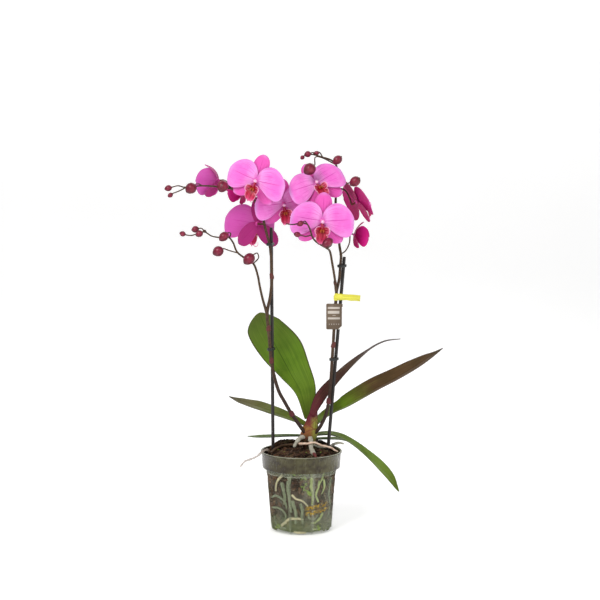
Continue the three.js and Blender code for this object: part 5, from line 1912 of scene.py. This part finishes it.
BLOOMS = (
    Bloom(1, Side.LEFT, (-64.5, -25, 516.5), -14, -4, -18, 0.92, ((-69, 0, 487), (-63, 0, 502))),
    Bloom(2, Side.LEFT, (-26, 0, 481.5), 12, -14, 9, 0.9, ((-58, 1.2, 468), (-46, 7, 472), (-34, 9, 478))),
    Bloom(3, Side.LEFT, (-65, 22, 451), -150, 0, 4, 1.0, ((-53, 3, 448), (-55, 7, 451)), 30),
    Bloom(4, Side.LEFT, (-122, 22, 514), -98, -6, 0, 0.76, ((-104, -5, 504), (-106, 8, 511)), 58, 58, 0.5),
    Bloom(5, Side.LEFT, (-84, 35, 501), -96, -12, 0, 0.64, ((-80, -1.5, 496), (-74, 12, 499)), 50, 34,
          0.5, True),
    Bloom(6, Side.RIGHT, (22, -11.5, 511), 4, 28, 25, 0.9, ((54, 8, 507), (42, 10, 509))),
    Bloom(7, Side.RIGHT, (30, -36, 459), 4, -5, -4, 0.98, ((54, 6, 446), (46, 2, 456))),
    Bloom(8, Side.RIGHT, (81.5, 14, 484), 114, 26, 0, 0.9, ((54, 8, 504), (64, 14, 500), (70.5, 14, 489)),
          deep=True),
    Bloom(9, Side.RIGHT, (77.5, 0, 436.5), 93, -14, 0, 0.56, ((56, 7, 407), (64, 5, 412), (70, 3, 424)),
          50, 42, 0.3, True),
)


# ---------------------------------------------------------------- spikes
@dataclass
class Bud:
    """A closed bud: its stalk from the stem to its foot, its tip and its radius."""

    stalk: tuple[Point, ...]
    tip: Point
    radius: float

    def stem(self) -> Shape:
        """The bud's stalk."""
        foot = np.array(self.stalk[-1])
        inside = tuple(foot + (np.array(self.tip) - foot) * 0.15)
        return tube([*self.stalk, inside], [1.0, 0.85, 1.1], 10, 8 * (len(self.stalk) + 1), (0.2, 0.5))

    def body(self) -> Shape:
        """The bud itself, with three shallow seams and a blunt tip."""
        foot, tip = np.array(self.stalk[-1], float), np.array(self.tip, float)
        rows, sides = 26, 24
        along = 0.5 - 0.5 * np.cos(np.linspace(0, math.pi, rows))
        outline = np.interp(along, [0, 0.06, 0.2, 0.4, 0.6, 0.82, 0.95, 1],
                            [0.12, 0.5, 0.84, 1.0, 0.97, 0.66, 0.3, 0])
        axis = unit(tip - foot)
        right = unit(np.cross(axis, [0.2, 0.3, 1.0]))
        up = np.cross(axis, right)
        angles = around(sides)
        seam = np.exp(-((np.abs(np.sin(1.5 * angles)) / 0.22) ** 2))
        sunk = 0.1 * seam[None, :] * smooth_step(along, 0.15, 0.5)[:, None]
        radius = self.radius * outline[:, None] * (1 - sunk)
        centre = foot + (tip - foot) * along[:, None]
        ring = right * np.cos(angles)[:, None] + up * np.sin(angles)[:, None]
        points = (centre[:, None, :] + ring[None, :, :] * radius[:, :, None]).reshape(-1, 3)
        uv = grid_uv(angles / (2 * math.pi), along)
        tint = (seam[None, :] * smooth_step(along, 0.1, 0.4)[:, None] * 0.7).reshape(-1)
        return Shape(points, grid_faces(rows, sides, wrap=True), uv, tint)


def swellings(places: Sequence[Place]) -> list[int]:
    """The numbers of the places that are clearly thicker than those before and after them."""
    radii = [radius for _, _, _, radius in places]
    return [k for k in range(1, len(places) - 1) if radii[k] > max(radii[k - 1], radii[k + 1]) + 0.4]


@dataclass
class Spike:
    """A flower spike: [x, y, z, radius] places of its stem and branch, and its buds."""

    side: Side
    stem: tuple[Place, ...]
    branch: tuple[Place, ...]
    buds: tuple[Bud, ...]

    @staticmethod
    def grown(places: Sequence[Place]) -> Shape:
        """A stem through its places, its swellings marked, more so low down.

        Args:
            places: the places with their radii.

        Returns:
            The stem.
        """
        marks = [0.0] * len(places)
        for k in swellings(places):
            marks[k] = 0.8 if places[k][2] < 200 else 0.45
        radii = [radius for _, _, _, radius in places]
        return tube([spot[:3] for spot in places], radii, 16, 10 * len(places), marks, 0.03)

    def bracts(self) -> list[Shape]:
        """A small pointed scale on each swelling of the stem."""
        found = []
        for k in swellings(self.stem):
            axis = unit(np.array(self.stem[k + 1][:3]) - np.array(self.stem[k - 1][:3]))
            out = unit(np.array([0.4 if k % 2 else -0.4, -1.0, 0.0]) - axis * (-1.0 * axis[1]))
            side = np.cross(axis, out)
            foot = np.array(self.stem[k][:3]) - axis * 2.5
            found.append(self.scale_leaf(foot, axis, out, side, self.stem[k][3]))
        return found

    @staticmethod
    def scale_leaf(
        foot: np.ndarray, axis: np.ndarray, out: np.ndarray, side: np.ndarray, radius: float,
    ) -> Shape:
        """A scale that hugs the stem and ends in a point.

        Args:
            foot: its foot on the stem's centre line.
            axis: the stem's direction.
            out: the side of the stem that it is on.
            side: the direction across both.
            radius: the stem's radius there.

        Returns:
            The scale as a blade.
        """

        def point(s: np.ndarray, t: np.ndarray) -> np.ndarray:
            """The scale's middle surface.

            Args:
                s: shares from foot to tip.
                t: places from -1 to 1 across.

            Returns:
                The points there.
            """
            turn = t * 1.9 * np.sqrt(np.clip(1 - s, 0, 1))
            reach = radius + 0.25 + 0.5 * s * s
            return (foot + axis * (9 * s)[:, None] + out * (reach * np.cos(turn))[:, None]
                    + side * (reach * np.sin(turn))[:, None])

        scale = blade(point, 10, 12, lambda s, t: np.full_like(s, 0.5))
        scale.tint[:] = 0.5
        return scale

    def build(self, stem_skin: Material, bud_skin: Material) -> None:
        """Makes the stems as one piece and the buds as another.

        Args:
            stem_skin: the material of stems and stalks.
            bud_skin: the material of the buds.
        """
        node = f"spike_{self.side.value}"
        stems = [self.grown(self.stem), self.grown(self.branch), *self.bracts()]
        stems += [bloom.pedicel() for bloom in BLOOMS if bloom.side is self.side]
        stems += [bud.stem() for bud in self.buds]
        Shape.joined(stems).place(f"{node}_stems", stem_skin, "stem", node)
        Shape.joined([bud.body() for bud in self.buds]).place(f"{node}_buds", bud_skin, "stem", node)


SPIKES = (
    Spike(
        Side.LEFT,
        stem=(
            (8, 9, 138, 2.7), (1, 5, 149, 2.7), (-12.5, 4, 168.5, 2.7), (-14, 4, 171, 3.5),
            (-16, 4, 174, 2.6), (-25, 4, 190, 2.6), (-33, 4, 205, 2.6), (-41, 5.5, 232, 2.5),
            (-43.4, 6, 246, 2.5), (-44, 6.2, 249, 3.2), (-44.6, 6.4, 253, 2.4), (-47, 7, 285, 2.4),
            (-48, 7, 294, 2.4), (-48.2, 7, 297, 3.1), (-48.6, 7, 301, 2.4), (-50, 7, 322, 2.5),
            (-45.5, 7, 345, 2.2), (-43, 6.5, 370, 2.2), (-43, 6.5, 374, 2.8), (-43, 6.5, 378, 2.1),
            (-43.5, 6.5, 395, 2.1), (-46, 5, 420, 2), (-51.5, 3.5, 442, 1.9), (-59, 1, 471, 1.8),
            (-69, 0, 487, 1.8), (-82, -2, 497, 1.7), (-95, -4, 502, 1.6), (-110, -6, 505, 1.4),
            (-139, -8, 508, 1.2), (-170, -8, 506, 0.9),
        ),
        branch=(
            (-50, 7, 318, 2.1), (-57, 2, 344, 1.8), (-60.5, -3, 361, 1.7), (-63.5, -7, 378, 1.6),
            (-69.5, -11, 395, 1.6), (-81, -14, 403, 1.5), (-93, -17, 413, 1.4), (-99, -18, 427, 1.3),
            (-105, -18, 434, 1.3), (-117, -19, 434, 1.1), (-129, -20, 436, 1), (-140, -20, 442, 1),
            (-151, -20, 439, 0.8),
        ),
        buds=(
            Bud(((-170, -8, 506), (-178, -8, 508), (-187, -8, 506)), (-198, -9, 503), 4.5),
            Bud(((-166, -8, 506), (-178, -8.5, 500), (-186, -9, 497)), (-193, -10, 492), 3.5),
            Bud(((-143, -8, 508), (-149, -10, 511), (-153, -12, 510)), (-166, -18, 499), 8),
            Bud(((-100, -4.6, 503), (-107, -3, 511), (-110, -8, 514)), (-117.5, -18.5, 500), 8.2),
            Bud(((-149, -20, 440), (-159, -20, 437), (-167, -20, 438)), (-176, -20, 441), 4),
            Bud(((-139, -20, 442), (-144, -18, 447), (-148, -17, 447)), (-159, -15, 444), 5),
            Bud(((-137, -20, 441), (-139, -24, 445), (-142, -27, 443)), (-152, -29, 437), 5),
            Bud(((-104, -18, 433), (-102, -20, 440), (-106, -23, 441)), (-118, -27, 430), 6.5),
            Bud(((-91, -16.5, 411), (-104, -19, 415), (-113, -21, 418)), (-128, -23, 410), 7.6),
            Bud(((-70, -11, 395), (-62, -12, 404), (-64, -15, 411), (-69, -17, 409)), (-83, -22, 396), 8),
        ),
    ),
    Spike(
        Side.RIGHT,
        stem=(
            (16, 9, 138, 2.7), (26, 6, 149, 2.6), (36, 6, 169, 2.6), (40, 7, 186, 2.6),
            (40.6, 7, 189, 3.3), (41.2, 7.1, 193, 2.5), (43, 8, 214, 2.4), (45.5, 8.5, 252, 2.4),
            (46.5, 8.5, 269, 2.3), (46.8, 8.5, 272, 3), (47, 8.5, 276, 2.3), (48.5, 8.5, 305, 2.3),
            (50.6, 8.5, 338, 2.4), (51.6, 8.5, 352, 2.2), (55.6, 8, 371, 2.2), (57, 8, 390, 2.1),
            (58, 7, 405, 2), (55.7, 6, 420, 1.9), (53.5, 6, 450, 1.8), (50, 6, 487, 1.8),
            (54, 8, 507, 1.6), (53.5, 8, 527, 1.5), (47, 5, 542, 1.4), (27, 1, 550, 1.2),
            (15.5, 0, 553, 1), (8, 0, 552, 0.8),
        ),
        branch=(
            (51.5, 8.5, 349, 1.9), (50.4, 4.6, 357, 2), (49.8, 2.4, 362, 1.9), (49.4, 0.8, 366, 2.6),
            (49, -0.8, 371, 1.8), (45, -8, 395, 1.7), (41.5, -14, 413, 1.6), (37, -28, 419, 1.5),
            (29, -39, 424.5, 1.4), (20, -44, 431, 1.3), (15.5, -47, 438, 1.3), (12, -49, 449, 1.2),
            (8, -49, 455.5, 1.1), (0, -49, 457, 1.1), (-12, -49, 455, 1), (-22, -48, 456, 0.9),
        ),
        buds=(
            Bud(((10, 0, 553), (6, 0, 552), (4, 0, 551)), (-1, 0, 546), 3.2),
            Bud(((19, 0, 552), (17, -3, 556), (14, -5, 555)), (4, -6, 552), 4.6),
            Bud(((31, 1.7, 548.6), (28, 4, 554), (26, 4, 556)), (17, 5, 553), 3.4),
            Bud(((48, 5, 541), (57, 6, 545), (58, 4, 550)), (46, 2, 539), 6.2),
            Bud(((50, 6, 538), (30, 7, 548), (20, -8, 549), (19, -22, 538)), (4, -29, 527), 8.6),
            Bud(((9, -49, 455), (5, -51, 460), (3, -52, 459)), (-6, -53, 454), 4),
            Bud(((15, -47.5, 440), (6, -50, 438), (-1, -51, 440)), (-11, -52, 442), 4),
            Bud(((37, -27, 419), (43, -42, 425), (44, -52, 434)), (30, -60, 425), 6.4),
            Bud(((54, 8, 506), (68, -10, 512), (84, -18, 520)), (70, -15, 509), 7.2),
        ),
    ),
)


# ---------------------------------------------------------------- canes, clips and tags
@dataclass
class Cane:
    """A straight support cane beside a spike."""

    side: Side
    foot: Point
    top: Point
    radius: float = 2.5

    def at(self, height: float) -> np.ndarray:
        """Its centre at a height."""
        share = (height - self.foot[2]) / (self.top[2] - self.foot[2])
        return np.array(self.foot) + (np.array(self.top) - np.array(self.foot)) * share

    def build(self, skin: Material) -> None:
        """Makes the cane, a little narrower at its very top.

        Args:
            skin: its material.
        """
        line = [tuple(self.at(height)) for height in np.linspace(self.foot[2], self.top[2], 6)]
        shape = tube(line, [self.radius] * 60 + [self.radius * 0.9], 24, 120, knobs=0.012)
        shape.place(f"cane_{self.side.value}_rod", skin, "cane", f"cane_{self.side.value}")


HOLD = 2.85  # from the centres of stem and cane to the inner face of what holds them together
CANES = {
    Side.LEFT: Cane(Side.LEFT, (-41.6, 16, 66), (-44, 13, 446)),
    Side.RIGHT: Cane(Side.RIGHT, (33, 16, 34), (63, 13.5, 403)),
}


def stem_at(side: Side, height: float) -> np.ndarray:
    """The centre of a stem.

    Args:
        side: the spike.
        height: where it is cut.

    Returns:
        The centre at that height.
    """
    places = next(spike.stem for spike in SPIKES if spike.side is side)
    heights = [spot[2] for spot in places]
    above = next(k for k, level in enumerate(heights) if level >= height)
    low, high = np.array(places[above - 1][:3]), np.array(places[above][:3])
    return low + (high - low) * (height - low[2]) / (high[2] - low[2])


def pair_loop(side: Side, height: float, reach: float, steps: int = 22) -> np.ndarray:
    """A closed outline at a distance around a stem and its cane.

    Args:
        side: the spike.
        height: where it is cut.
        reach: its distance from the two centres.
        steps: points on each half circle.

    Returns:
        Points at that height, counterclockwise from above.
    """
    stem, cane = stem_at(side, height), CANES[side].at(height)
    away = math.atan2(cane[1] - stem[1], cane[0] - stem[0])
    points = []
    for centre, start in ((cane, away - math.pi / 2), (stem, away + math.pi / 2)):
        for turn in np.linspace(start, start + math.pi, steps):
            points.append((centre[0] + reach * math.cos(turn), centre[1] + reach * math.sin(turn), height))
    return np.array(points)


def swept_band(loop: np.ndarray, section: Sequence[tuple[float, float]]) -> Shape:
    """A band that follows a level loop.

    Args:
        loop: the closed outline.
        section: (outward, up) offsets around the band's own outline.

    Returns:
        The closed band.
    """
    around = unit(np.roll(loop, -1, 0) - np.roll(loop, 1, 0))
    outward = np.stack([around[:, 1], -around[:, 0], np.zeros(len(loop))], 1)
    rings = [loop + outward * out + np.array([0, 0, up]) for out, up in section]
    points = np.stack(rings, 1).reshape(-1, 3)
    closed = np.vstack([points, points[: len(section)]])
    uv = np.zeros((len(closed), 2))
    uv[:, 0] = np.repeat(np.linspace(0, 6, len(loop) + 1), len(section))
    return Shape(closed, grid_faces(len(loop) + 1, len(section), wrap=True), uv, np.zeros(len(closed)))


def rounded_section(wall: float, tall: float, corner: float) -> list[tuple[float, float]]:
    """The outline of a band's cross-section.

    Args:
        wall: how thick the band is.
        tall: how high it is.
        corner: the radius of its corners.

    Returns:
        (outward, up) offsets.
    """
    points = []
    for sign_out, sign_up, start in ((1, 1, 0), (0, 1, 90), (0, -1, 180), (1, -1, 270)):
        for turn in np.radians([start, start + 45, start + 90]):
            centre = (wall - corner if sign_out else corner, sign_up * (tall / 2 - corner))
            points.append((centre[0] + corner * math.cos(turn), centre[1] + corner * math.sin(turn)))
    return points


@dataclass
class Clip:
    """A black clip that holds a spike to its cane, with a small grip at each end."""

    node: str
    side: Side
    height: float
    wall: float = 1.6
    tall: float = 4

    def build(self, skin: Material) -> None:
        """Makes the band and its grips.

        Args:
            skin: its material.
        """
        band = swept_band(pair_loop(self.side, self.height, HOLD), rounded_section(self.wall, self.tall, 0.6))
        stem, cane = stem_at(self.side, self.height), CANES[self.side].at(self.height)
        shapes = [band]
        for middle, other in ((stem, cane), (cane, stem)):
            out = unit((middle - other) * [1, 1, 0])
            start = middle + out * (HOLD + 0.6)
            shapes.append(tube([tuple(start), tuple(start + out * 1.6 + [0, 0, 0.2])], [1.5, 1.3], 14, 8,
                               round_end=True))
        Shape.joined(shapes).place(f"{self.node}_band", skin, "clip", self.node)


CLIPS = (
    Clip("clip_left_low", Side.LEFT, 267),
    Clip("clip_left_high", Side.LEFT, 422),
    Clip("clip_right_low", Side.RIGHT, 252),
    Clip("clip_right_high", Side.RIGHT, 390),
)


def card(outline: Sequence[tuple[float, float]], size: tuple[float, float], thickness: float) -> Shape:
    """A flat card in the XZ plane with its face to the front.

    Args:
        outline: (x, z) corners, counterclockwise as seen from the front.
        size: width and height that the uv is measured by.
        thickness: how far it reaches back.

    Returns:
        The closed card.
    """
    corners = np.asarray(outline, float)
    count = len(corners)
    front = np.stack([corners[:, 0], np.full(count, -thickness), corners[:, 1]], 1)
    back = front * [1, 0, 1]
    uv = corners / np.array(size)
    faces: list[tuple[int, ...]] = [tuple(range(count)), tuple(range(count, 2 * count))[::-1]]
    faces += [(k, count + k, count + (k + 1) % count, (k + 1) % count) for k in range(count)]
    return Shape(np.vstack([front, back]), faces, np.vstack([uv, uv]), np.zeros(2 * count))


@dataclass
class CareTag:
    """The brown tag with a turned-up corner, and the strap that holds it."""

    foot: Point = (36.5, 5, 297)
    width: float = 23
    height: float = 38
    thickness: float = 0.8
    corner: float = 1.5
    fold: float = 5.5

    def outline(self) -> list[tuple[float, float]]:
        """The card's outline: three round corners, the lower right one cut off."""
        points = [(self.width - self.fold, 0.0), (self.width, self.fold)]
        for x, z, start in ((self.width - self.corner, self.height - self.corner, 0),
                            (self.corner, self.height - self.corner, 90), (self.corner, self.corner, 180)):
            for turn in np.radians(np.linspace(start, start + 90, 7)):
                points.append((x + self.corner * math.cos(turn), z + self.corner * math.sin(turn)))
        return points

    def build(self) -> None:
        """Makes card, turned corner and strap."""
        bars = [(0.1, 0.86, 0.795, 0.87), (0.1, 0.84, 0.61, 0.72), (0.4, 0.6, 0.535, 0.55),
                (0.1, 0.88, 0.39, 0.465)]
        bars += [(0.17 + 0.15 * k, 0.22 + 0.15 * k, 0.185, 0.22) for k in range(5)]
        finish = PrintedFinish("tag_card", (108, 92, 76), (226, 218, 208), tuple(bars))
        sheet = card(self.outline(), (self.width, self.height), self.thickness)
        shift = np.array(self.foot)
        sheet = sheet.moved(lambda points: points + shift)
        sheet.place("tag_care_card", finish.material(), "tag", "tag_care")
        loop = pair_loop(Side.RIGHT, self.foot[2] + self.height - 4, HOLD)
        strap = swept_band(loop, rounded_section(0.9, 4, 0.3))
        brown = PlasticFinish("tag_strap", (116, 98, 84), (98, 82, 70), 0.5)
        strap.place("tag_care_strap", brown.material(), "tag", "tag_care")
        self.build_corner()

    def build_corner(self) -> None:
        """Makes the white corner of the backing that shows under the cut."""
        half = self.fold / 2

        def point(s: np.ndarray, t: np.ndarray) -> np.ndarray:
            """The corner's middle surface, rolled a little to the front.

            Args:
                s: shares from fold to tip.
                t: places from -1 to 1 across.

            Returns:
                The points there.
            """
            x = self.width - half + half * (t * (1 - s) + s)
            y = -0.5 - 1.1 * s * (1 - s)
            z = half + half * (t * (1 - s) - 0.84 * s)
            return np.stack([x, y, z], 1) + np.array(self.foot)

        corner = blade(point, 12, 8, lambda s, t: np.full_like(s, 0.4))
        white = PlasticFinish("tag_backing", (232, 230, 226), (206, 204, 200), 0.45)
        corner.place("tag_care_corner", white.material(), "tag", "tag_care")


@dataclass
class BandLabel:
    """The yellow label: a band around spike and cane, and its flag to the right."""

    level: float = 343
    length: float = 38
    height: float = 9
    thickness: float = 0.8
    band: float = 7

    def build(self) -> None:
        """Makes band and flag."""
        stem = stem_at(Side.RIGHT, self.level)
        finish = PrintedFinish("label_film", (224, 218, 80), (120, 116, 50),
                               ((0.3, 0.93, 0.62, 0.66), (0.3, 0.86, 0.34, 0.37)), 0.42)
        count = 24
        low = [(self.length * k / count, 0.25 * math.sin(k * 0.7)) for k in range(count + 1)]
        high = [(x, self.height + 0.2 * math.sin(x * 0.3)) for x, _ in reversed(low)]
        flag = card(low + high, (self.length, self.height), self.thickness)
        tilt = math.radians(4)
        corner = np.array([stem[0] - 2.6, stem[1] - 3.1, self.level + 1.2 - self.height / 2])

        def hung(points: np.ndarray) -> np.ndarray:
            """The flag turned down a little to the right and waved.

            Args:
                points: the flat flag.

            Returns:
                The points, hung.
            """
            x, y, z = points.T
            wave = 0.35 * np.sin(x * 0.22)
            middle = self.length / 2
            along = middle + (x - middle) * math.cos(tilt) + (z - self.height / 2) * math.sin(tilt)
            up = self.height / 2 - (x - middle) * math.sin(tilt) + (z - self.height / 2) * math.cos(tilt)
            return np.stack([along, y + wave, up], 1) + corner

        flag.moved(hung).place("tag_label_flag", finish.material(), "label", "tag_label")
        band = swept_band(pair_loop(Side.RIGHT, self.level, HOLD), rounded_section(0.8, self.band, 0.25))
        yellow = PlasticFinish("label_band", (224, 218, 80), (206, 198, 66), 0.42)
        band.place("tag_label_band", yellow.material(), "label", "tag_label")


# ---------------------------------------------------------------- studio
@dataclass
class Studio:
    """A pale sweep, soft lights and the camera at the photograph's viewing angle."""

    camera_at: Point = (-1.9, -2600, 644)
    pitch: float = 6.65
    lens: float = 107.5
    sensor: float = 36
    reach: float = 150000
    back: float = 1500
    cove: float = 900
    wall_top: float = 5000

    def build(self) -> None:
        """Makes floor, lights, world and camera."""
        self.floor()
        self.light("key", (-900, -1500, 1700), 900, 30, (1.0, 0.99, 0.97))
        self.light("fill", (1300, -1300, 900), 1200, 8, (0.98, 0.99, 1.0))
        self.light("back", (300, 1100, 1300), 900, 6, (1.0, 1.0, 1.0))
        world = bpy.data.worlds.new("studio")
        world.use_nodes = True
        background = world.node_tree.nodes["Background"]
        background.inputs["Color"].default_value = (1, 1, 1, 1)
        background.inputs["Strength"].default_value = 0.4
        scene = bpy.context.scene
        scene.world = world
        scene.view_settings.view_transform = "Standard"
        self.camera()

    def floor(self) -> None:
        """A floor that sweeps up behind the plant and runs far out to the other sides."""
        depth = [(-self.reach, 0.0), (self.back, 0.0)]
        depth += [(self.back + self.cove * math.sin(turn), self.cove - self.cove * math.cos(turn))
                  for turn in np.linspace(0.1, math.pi / 2, 12)]
        depth.append((self.back + self.cove, self.wall_top))
        points = np.array([(x, y, z) for y, z in depth for x in (-self.reach, self.reach)])
        shape = Shape(points, grid_faces(len(depth), 2, wrap=False, flip=True), points[:, :2] / 1000,
                      np.zeros(len(points)))
        shape.to_object("studio_sweep", SweepFinish().material())

    @staticmethod
    def light(name: str, at: Point, size: float, power: float, colour: Colour) -> None:
        """A square soft light aimed at the plant's middle.

        Args:
            name: its name.
            at: where it stands.
            size: its side length.
            power: its power in watts.
            colour: its colour.
        """
        data = bpy.data.lights.new(name, "AREA")
        data.size = size * MM
        data.energy = power
        data.color = colour
        obj = bpy.data.objects.new(name, data)
        bpy.context.scene.collection.objects.link(obj)
        obj.location = [value * MM for value in at]
        aim = unit(np.array([0, 0, 320.0]) - np.array(at))
        obj.rotation_euler = (math.acos(-aim[2]), 0, math.atan2(-aim[0], aim[1]))

    def camera(self) -> None:
        """The camera that sees the plant as the photograph does."""
        data = bpy.data.cameras.new("camera")
        data.lens = self.lens
        data.sensor_width = self.sensor
        data.clip_end = 100
        obj = bpy.data.objects.new("camera", data)
        bpy.context.scene.collection.objects.link(obj)
        obj.location = [value * MM for value in self.camera_at]
        obj.rotation_euler = (math.radians(90 - self.pitch), 0, 0)
        bpy.context.scene.camera = obj


def build_roots() -> None:
    """Makes the roots above the bark: grey, but pale and brown where they are thin."""
    grey = GrownFinish("root_air_grey", (184, 180, 166), (136, 134, 116), (98, 46, 44), 320, 0.75, 0.5)
    pale = GrownFinish("root_air_pale", (226, 200, 180), (190, 156, 130), (226, 200, 180), 300, 0.65, 0.35)
    buried = GrownFinish("root_air_buried", (92, 70, 50), (66, 48, 34), (190, 182, 176), 300, 0.7, 0.4)
    usual, thin, brown = (finish.material() for finish in (grey, pale, buried))
    special = {"root_over_rim": brown, "root_wavy": thin}
    for root in AERIAL_ROOTS:
        root.build(special.get(root.node, usual))


def flower_skins() -> FlowerSkins:
    """The materials of all the flowers; the deep ones, for the flowers seen from behind, are darker copies
    that paint the shade those flowers lie in.
    """
    return FlowerSkins(
        petal=TepalFinish("petal_skin", foot=(238, 156, 222), middle=(232, 110, 202), rim=(210, 150, 212),
                          back=(188, 72, 158), vein=(198, 50, 160), shade=(208, 90, 178)).material(),
        sepal=TepalFinish("sepal_skin", foot=(216, 92, 172), middle=(226, 92, 182), rim=(216, 134, 200),
                          back=(160, 32, 106), vein=(184, 28, 130), shade=(146, 14, 92)).material(),
        # The two deep skins are darker copies of the two above: painted shade.
        shaded_petal=TepalFinish("petal_painted_shade", foot=(212, 64, 160), middle=(204, 36, 136), rim=(208, 104, 176),
                               back=(176, 10, 104), vein=(170, 12, 104), shade=(156, 14, 96)).material(),
        shaded_sepal=TepalFinish("sepal_painted_shade", foot=(192, 34, 122), middle=(188, 22, 112), rim=(200, 76, 148),
                               back=(156, 6, 84), vein=(150, 8, 84), shade=(128, 6, 68)).material(),
        column=ColumnFinish().material(),
        lip=LipFinish().material(),
    )


def main() -> None:
    """Builds every piece in order."""
    logging.basicConfig(level=logging.INFO, format="%(name)s: %(message)s")
    Studio().build()
    pot = Pot()
    pot.build()
    wall_roots = PotRoots(pot)
    wall_roots.build()
    BarkBed(pot, wall_roots).build()
    Crown().build()
    build_roots()
    for leaf in LEAVES:
        leaf.build()
    stem_skin = GrownFinish("stem_skin", (84, 64, 46), (46, 32, 26), (118, 42, 56), 480, 0.45, 0.25, 0.8,
                            (46, 32, 28)).material()
    bud_skin = BudFinish().material()
    for spike in SPIKES:
        spike.build(stem_skin, bud_skin)
    cane_skin = PlasticFinish("cane_coat", (36, 30, 28), (20, 17, 16), 0.42, 420.0).material()
    for cane in CANES.values():
        cane.build(cane_skin)
    clip_skin = PlasticFinish("clip_black", (24, 26, 24), (44, 46, 44), 0.38).material()
    for clip in CLIPS:
        clip.build(clip_skin)
    CareTag().build()
    BandLabel().build()
    skins = flower_skins()
    for bloom in BLOOMS:
        bloom.build(skins)
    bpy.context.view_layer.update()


if __name__ == "__main__":
    main()
